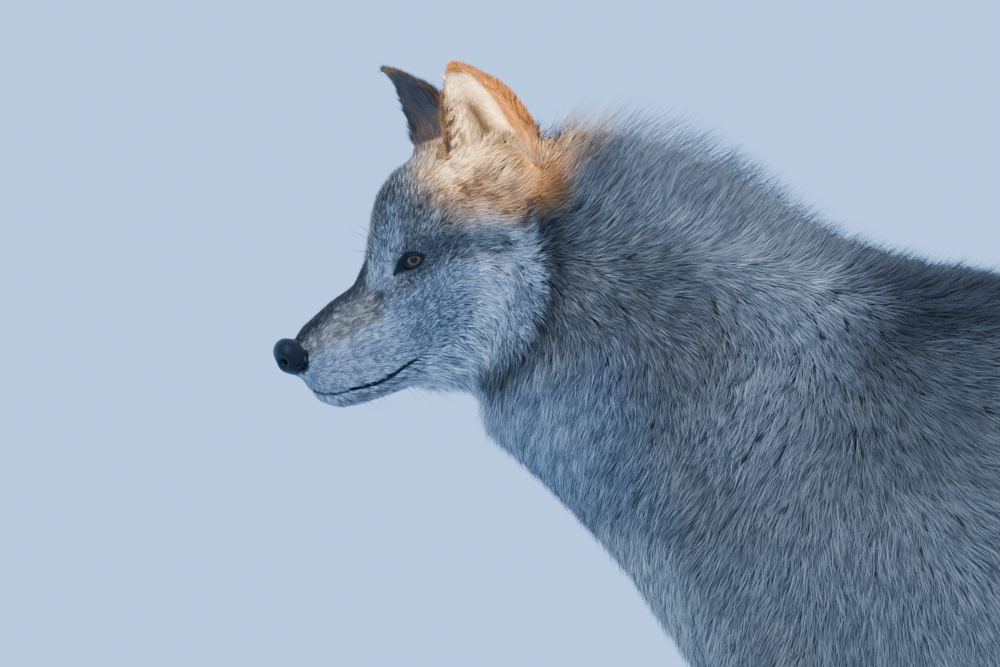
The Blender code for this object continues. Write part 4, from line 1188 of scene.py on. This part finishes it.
# %% [markdown]
# The eyes are closed balls, as deep as real ones, with the clear front bulge of the cornea. The iris is
# amber with fine fibres that run out from a round pupil and end in a dark edge. All of it is painted on
# the ball by distance from the line of sight, and a clear coat in the material gives the wet shine. An
# iris could also lie behind a glass dome, but one painted ball keeps its look when it is baked.

# %% Eyeballs
IRIS, PUPIL, CORNEA = 0.0070, 0.0032, 0.0008
GAZE = np.array((0.36, 0.91, 0.17))
IRIS_HEART, IRIS_AMBER, IRIS_EDGE = linear("#6f4b2b"), linear("#4a301a"), linear("#0e0805")
WHITE_OF_EYE = linear("#4a352a")
INSIDE_SOLID = 0.0002
EYE_RINGS, EYE_TURNS = 84, 150


def ball_ways(pole, rings, turns, ease):
    """Directions that cover a ball: the pole, rings of a circle at angles that grow as a power of
    their share of the way round, and the opposite pole."""
    pole = unit(np.array(pole, float))
    first = unit(np.cross(pole, (0.1, 0.2, 1.0)))
    tilt = (math.pi * np.linspace(0, 1, rings + 2)[1:-1] ** ease)[:, None, None]
    turn = np.linspace(0, 2 * math.pi, turns, endpoint=False)[None, :, None]
    circle = first * np.cos(turn) + np.cross(pole, first) * np.sin(turn)
    between = (np.cos(tilt) * pole + np.sin(tilt) * circle).reshape(-1, 3)
    return np.concatenate([pole[None], between, -pole[None]])


def ball_faces(rings, turns):
    """Triangles between the rings of a ball, and two fans that close its poles."""
    j, after = np.arange(turns), (np.arange(turns) + 1) % turns
    row = 1 + np.arange(rings - 1)[:, None] * turns
    a, b = (row + j).ravel(), (row + after).ravel()
    last = 1 + (rings - 1) * turns
    return np.concatenate([
        np.stack([np.zeros(turns, int), 1 + j, 1 + after], 1),
        np.stack([a, a + turns, b + turns], 1),
        np.stack([a, b + turns, b], 1),
        np.stack([last + j, np.full(turns, last + turns), last + after], 1),
    ])


print("radius of the eyeball:", round(EYE_RADIUS * 1000, 1), "mm")

# %% Iris, pupil and shine
eye_finish, tree, shader = new_material(
    "wet eyeball", 0.4, Specular_IOR_Level=0.12, Coat_Weight=0.45, Coat_Roughness=0.05, Coat_IOR=1.36
)
painted_by(tree, shader, "tone")
for word in ("left", "right"):
    gaze = unit(GAZE * (1, 1 if word == "left" else -1, 1))
    ways = ball_ways(gaze, EYE_RINGS, EYE_TURNS, 1.5)
    ahead = ways @ gaze
    off_axis = EYE_RADIUS * np.sqrt(np.clip(1 - ahead**2, 0, 1)) + (ahead < 0) * 0.03
    bulge = CORNEA * (1 - soft_step(0.2, 1.0, off_axis / (IRIS + 0.0008)))
    ball = ways * (EYE_RADIUS - INSIDE_SOLID + bulge)[:, None]
    around = unit(ways - ahead[:, None] * gaze)
    fibres = 0.6 * soft_noise(around, 0.07, 31) + 0.4 * soft_noise(around, 0.19, 33)
    at = off_axis / IRIS
    tones = IRIS_HEART + (IRIS_AMBER - IRIS_HEART) * soft_step(0.35, 0.75, at + 0.5 * (fibres - 0.5))[:, None]
    tones = tones * (0.62 + 0.76 * fibres)[:, None]
    tones += (IRIS_EDGE - tones) * soft_step(0.80, 0.98, at + 0.15 * (fibres - 0.5))[:, None]
    tones += (WHITE_OF_EYE - tones) * soft_step(1.02, 1.20, at)[:, None]
    tones *= soft_step(PUPIL - 0.0002, PUPIL + 0.0003, off_axis)[:, None] * 0.995 + 0.005
    placed = from_head(ball + eye_centre(word))
    mesh = mesh_from("eyeball_" + word, placed, ball_faces(EYE_RINGS, EYE_TURNS))
    paint(mesh, "tone", np.clip(tones, 0, 1))
    mesh.materials.append(eye_finish)
    eyeball = new_object("eyeball_" + word, mesh)
    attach(eyeball, "root")
    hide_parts("eye_" + word)
    print("eyeball", word, len(ball), "corners")

# %% [markdown]
# The nose pad is one closed surface, written as a distance from its middle in each direction. It starts
# as a swollen box with round corners. Round pits make the nostrils, a bent groove and a low hump behind
# each make the wing, and a fine groove splits the front. Sculpting would do as well, but a formula makes
# both nostrils alike. The material adds the pebbled grain, about a millimetre wide.

# %% Nose pad
ROUNDNESS = 2.5
PAD_RINGS, PAD_TURNS = 120, 160


def pad_reach(ways):
    """How far the plain pad reaches in each direction: a ball whose squares are a higher power."""
    return (np.abs(ways / NOSE_HALF) ** ROUNDNESS).sum(-1) ** (-1 / ROUNDNESS)


def on_pad(forward, left, up):
    """The place on the plain pad in a direction from its middle."""
    way = unit(np.array((forward, left, up)))
    return NOSE_MIDDLE + way * pad_reach(way)


ways = ball_ways((1, 0, 0), PAD_RINGS, PAD_TURNS, 1.0)
swell = pad_reach(ways)
spot = NOSE_MIDDLE + ways * swell[:, None]
mirrored = spot * (1, 0, 1) + np.abs(spot) * (0, 1, 0)
swell *= 1 - 0.10 * soft_step(0.0, 0.012, -(spot[:, 2] + 0.037)) * soft_step(0.118, 0.130, spot[:, 0])
print("plain pad:", round(np.ptp(spot[:, 1]) * 1000, 1), "mm wide")


# %% Nostrils, wings and the split
NOSTRIL, SLIT_END, WING = on_pad(0.76, 0.64, -0.10), on_pad(0.05, 0.86, -0.48), on_pad(0.40, 0.88, 0.18)
NOSTRIL_DEPTH, SLIT_DEPTH, WING_HEIGHT, SPLIT_DEPTH = 0.0080, 0.0028, 0.0012, 0.0012
SLIT_BOW = np.array((0.004, 0.004, -0.001))


def hump(centre, wide):
    """A round bump of height 1 at a centre, which falls off as a bell curve."""
    return np.exp(-((mirrored - centre) ** 2).sum(1) / (2 * wide**2))


run = SLIT_END - NOSTRIL
share = np.clip((mirrored - NOSTRIL) @ run / (run @ run), 0, 1)
bent = NOSTRIL + share[:, None] * run + np.sin(share * math.pi)[:, None] * SLIT_BOW
off_slit = np.linalg.norm(mirrored - bent, axis=1)
swell -= NOSTRIL_DEPTH * hump(NOSTRIL, 0.0031) + SLIT_DEPTH * band(off_slit, 0, 0.0011)
swell += WING_HEIGHT * hump(WING, 0.0038)
split = band(mirrored[:, 1], 0, 0.0008) * soft_step(0.120, 0.126, spot[:, 0])
split *= soft_step(-0.030, -0.036, spot[:, 2])
swell -= SPLIT_DEPTH * split
swell *= 1 - 0.18 * soft_step(0.3, 0.8, ways[:, 2]) * (1 - soft_step(0.110, 0.121, spot[:, 0]))
nose_points = NOSE_MIDDLE + ways * swell[:, None]
nose_mesh = mesh_from("nose_pad", from_head(nose_points), ball_faces(PAD_RINGS, PAD_TURNS))
print("nose pad:", len(nose_points), "corners")

# %% Nose leather
nose_finish, tree, shader = new_material(
    "moist nose leather", 0.5, Specular_IOR_Level=0.15, Coat_Weight=0.10, Coat_Roughness=0.2
)
space = add_node(tree, "ShaderNodeTexCoord").outputs["Object"]
pebbles = add_node(tree, "ShaderNodeTexVoronoi", {"Scale": 850}, {"Vector": space})
grained_by(tree, shader, pebbles.outputs["Distance"], strength=0.6, distance=0.0004, invert=True)
patches = add_node(tree, "ShaderNodeTexNoise", {"Scale": 160, "Detail": 3}, {"Vector": space})
two_tones(tree, shader, patches.outputs["Fac"], "#050608", "#101218")
nose_mesh.materials.append(nose_finish)
nose_pad = new_object("nose_pad", nose_mesh)
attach(nose_pad, "root")
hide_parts("nose")
print("nose pad in place of its solid")

# %% [markdown]
# Whiskers are thick single hairs, in rows on the muzzle, with a few on the chin, cheeks and brows. Each
# is a tapered tube of three sides, carried along a curve that bends back as it goes out, and closes in
# a point. Bevelled curves would look the same, but a mesh can be handed on as it is.

# %% Whiskers
WHISKER_SIDES, WHISKER_STEPS, WHISKER_THICK, WHISKER_SINK = 3, 7, 0.00034, 0.002
WHISKER_BOW = (0.25, 0.10, 0.08)
# Each whisker: how far forward and up on the head, the way it grows, and its length.
WHISKERS = [
    ((0.071, -0.049), (-1.0, 0.55, 0.02), 0.050), ((0.060, -0.055), (-1.0, 0.50, 0.00), 0.055),
    ((0.067, -0.060), (-1.0, 0.60, -0.12), 0.044), ((0.083, -0.053), (-1.0, 0.60, -0.10), 0.050),
    ((0.080, -0.045), (-1.0, 0.62, 0.10), 0.040), ((0.073, -0.066), (-1.0, 0.70, -0.30), 0.038),
    ((0.090, -0.060), (-0.9, 0.80, -0.25), 0.034), ((0.092, -0.048), (-0.9, 0.75, 0.05), 0.032),
    ((0.053, -0.062), (-1.0, 0.55, -0.15), 0.050), ((0.099, -0.055), (-0.8, 0.9, -0.20), 0.026),
    ((0.062, -0.098), (-0.2, 0.25, -1.0), 0.014), ((0.036, -0.099), (-0.25, 0.30, -1.0), 0.034),
    ((0.026, -0.103), (-0.35, 0.30, -1.0), 0.040), ((0.075, -0.094), (-0.3, 0.5, -1.0), 0.016),
    ((0.024, 0.036), (0.75, 0.35, 0.75), 0.034), ((0.020, 0.044), (0.60, 0.35, 0.85), 0.028),
    ((0.026, 0.030), (0.95, 0.35, 0.55), 0.030), ((-0.012, -0.036), (-0.8, 0.7, -0.4), 0.028),
]


def whisker(start, way, long):
    """Corners of one whisker: circles round a curve whose sideways part fades as it goes back, with
    a radius that falls evenly to nothing, and one corner at the tip."""
    t = np.linspace(0, 1, WHISKER_STEPS)[:, None]
    back, inward, down = WHISKER_BOW
    curve = start + long * (t * way + t**2 * np.array((-back, -inward * np.sign(way[1]), -down)))
    ahead = unit(np.gradient(curve, axis=0))
    first = unit(np.cross(ahead, (0.3, 0.2, 1.0)))
    second = np.cross(ahead, first)
    turn = np.arange(WHISKER_SIDES) * 2 * math.pi / WHISKER_SIDES
    ring = first[:-1, None] * np.cos(turn)[None, :, None] + second[:-1, None] * np.sin(turn)[None, :, None]
    tube = curve[:-1, None] + ring * (WHISKER_THICK * (1 - t[:-1]))[:, None]
    return np.concatenate([start[None] - WHISKER_SINK * way, tube.reshape(-1, 3), curve[-1:]])


print(len(WHISKERS), "whiskers on each side")

# %% Planting the whiskers
skin_local = to_head(skin_points)
whisker_points = []
for (forward, up), way, long in WHISKERS:
    for word in (1, -1):
        off_spot = np.hypot(skin_local[:, 0] - forward, skin_local[:, 2] - up)
        other_side = local_normals[:, 1] * word < 0.25
        start = skin_local[np.argmin(off_spot + other_side)]
        whisker_points.append(whisker(start, unit(np.array(way) * (1, word, 1)), long))
each = len(whisker_points[0])
whisker_faces = ball_faces(WHISKER_STEPS - 1, WHISKER_SIDES)[:, ::-1]
faces = (whisker_faces[None] + np.arange(len(whisker_points))[:, None, None] * each).reshape(-1, 3)
whisker_mesh = mesh_from("whiskers", from_head(np.concatenate(whisker_points)), faces)
whisker_finish, _, shader = new_material("black whisker hair", 0.45)
shader.inputs["Base Color"].default_value = (*linear("#15130f"), 1)
whisker_mesh.materials.append(whisker_finish)
whiskers = new_object("whiskers", whisker_mesh)
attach(whiskers, "root")
print(len(whisker_points), "whiskers,", len(faces), "faces")

# %% [markdown]
# The claws keep their solids. Horn grows in layers, so the material mixes a dark tone and a paler worn
# one in fine streaks, with a slight grain. A pattern in space is stretched for that, because a painted
# picture would need an unwrap of every claw.

# %% Claws
claw_finish, tree, shader = new_material("claw horn", 0.42, Specular_IOR_Level=0.45)
space = add_node(tree, "ShaderNodeTexCoord").outputs["Object"]
drawn = add_node(tree, "ShaderNodeMapping", {"Scale": (900, 160, 500)}, {"Vector": space}).outputs["Vector"]
layers = add_node(tree, "ShaderNodeTexNoise", {"Scale": 1.0, "Detail": 3}, {"Vector": drawn}).outputs["Fac"]
two_tones(tree, shader, layers, "#1d1a18", "#55493e")
grained_by(tree, shader, layers, strength=0.4, distance=0.0003)
claws = [name for name in nodes if name.startswith("claw_")]
for name in claws:
    for slot in nodes[name].material_slots:
        slot.material = claw_finish
print(len(claws), "claws of horn")

# %% [markdown]
# The floor, the light and the camera make a plain studio. The camera looks at the left side of the
# head from about seven metres off through a long lens, so the profile is hardly foreshortened. The
# room is a pale blue, with one wide soft lamp, one warmer lamp behind, and a small warm one on the near
# ear. The floor's colour is worked out so that it comes out as bright as the room, and no edge shows.

# %% Lamps and floor
SKY, SKY_STRENGTH = linear("#8ebbfb"), 2.3
LAMPS = {
    "soft key from the left": ((1.0, -0.5, 1.0), 55, 2.9, "#d3e2ff"),
    "warm light from behind": ((0.5, 1.0, 0.9), 35, 1.2, "#ffe6c8"),
}
FLOOR_HALF = 60
lamp_light = np.zeros(3)
for name, (towards, spread_angle, strength, colour) in LAMPS.items():
    data = bpy.data.lights.new(name, "SUN")
    data.angle = math.radians(spread_angle)
    data.energy = strength
    data.color = linear(colour)
    lamp = new_object(name, data)
    lamp.rotation_euler = Vector(towards).to_track_quat("Z", "Y").to_euler()
    lamp_light += linear(colour) * strength * unit(np.array(towards))[2] / math.pi
sky_light = SKY * SKY_STRENGTH
floor_colour = sky_light / (sky_light + lamp_light)
floor_finish, _, shader = new_material("pale studio floor", 1.0, Specular_IOR_Level=0.0)
shader.inputs["Base Color"].default_value = (*floor_colour, 1)
floor_corners = np.array(((-1, -1, 0), (1, -1, 0), (1, 1, 0), (-1, 1, 0.0))) * FLOOR_HALF
floor = new_object("floor", mesh_from("floor", floor_corners, np.array(((0, 1, 2), (0, 2, 3)))))
floor.data.materials.append(floor_finish)
print("floor colour:", floor_colour.round(2))

# %% Lamp on the near ear
EAR_LAMP_FROM, EAR_LAMP_REACH, EAR_LAMP_POWER = np.array((2.6, -1.1, 0.3)), 0.088, 5600
ear_spot = from_head((-0.106, 0.073, 0.090))
data = bpy.data.lights.new("warm lamp on the ears", "SPOT")
data.energy, data.color, data.shadow_soft_size = EAR_LAMP_POWER, linear("#ffcf90"), 0.02
data.spot_blend, data.spot_size = 1.0, 2 * math.atan(EAR_LAMP_REACH / np.linalg.norm(EAR_LAMP_FROM))
lamp = new_object("warm lamp on the ears", data)
lamp.location = ear_spot + EAR_LAMP_FROM
lamp.rotation_euler = Vector(EAR_LAMP_FROM).to_track_quat("Z", "Y").to_euler()
print("ear lamp", round(float(np.linalg.norm(EAR_LAMP_FROM)), 1), "m from the ear")

# %% Camera
LENS = 300
FRAME_WIDTH = 0.855
LOOK_AT = LEFT_EYE + np.array((0, 0.0722, -0.061))
camera_data = bpy.data.cameras.new("camera")
camera_data.lens = LENS
camera_data.clip_end = 300
camera = new_object("camera", camera_data)
distance = FRAME_WIDTH * LENS / camera_data.sensor_width
camera.location = LOOK_AT + np.array((distance, 0, 0))
camera.rotation_euler = (math.pi / 2, 0, math.pi / 2)
bpy.context.scene.camera = camera
print("camera", round(distance, 1), "m from the head")

# %% The pale room
world = bpy.data.worlds.new("pale room")
bpy.context.scene.world = world
world.use_nodes = True
background = world.node_tree.nodes["Background"]
background.inputs["Color"].default_value = (*SKY, 1)
background.inputs["Strength"].default_value = SKY_STRENGTH
print("room lit at", SKY_STRENGTH)
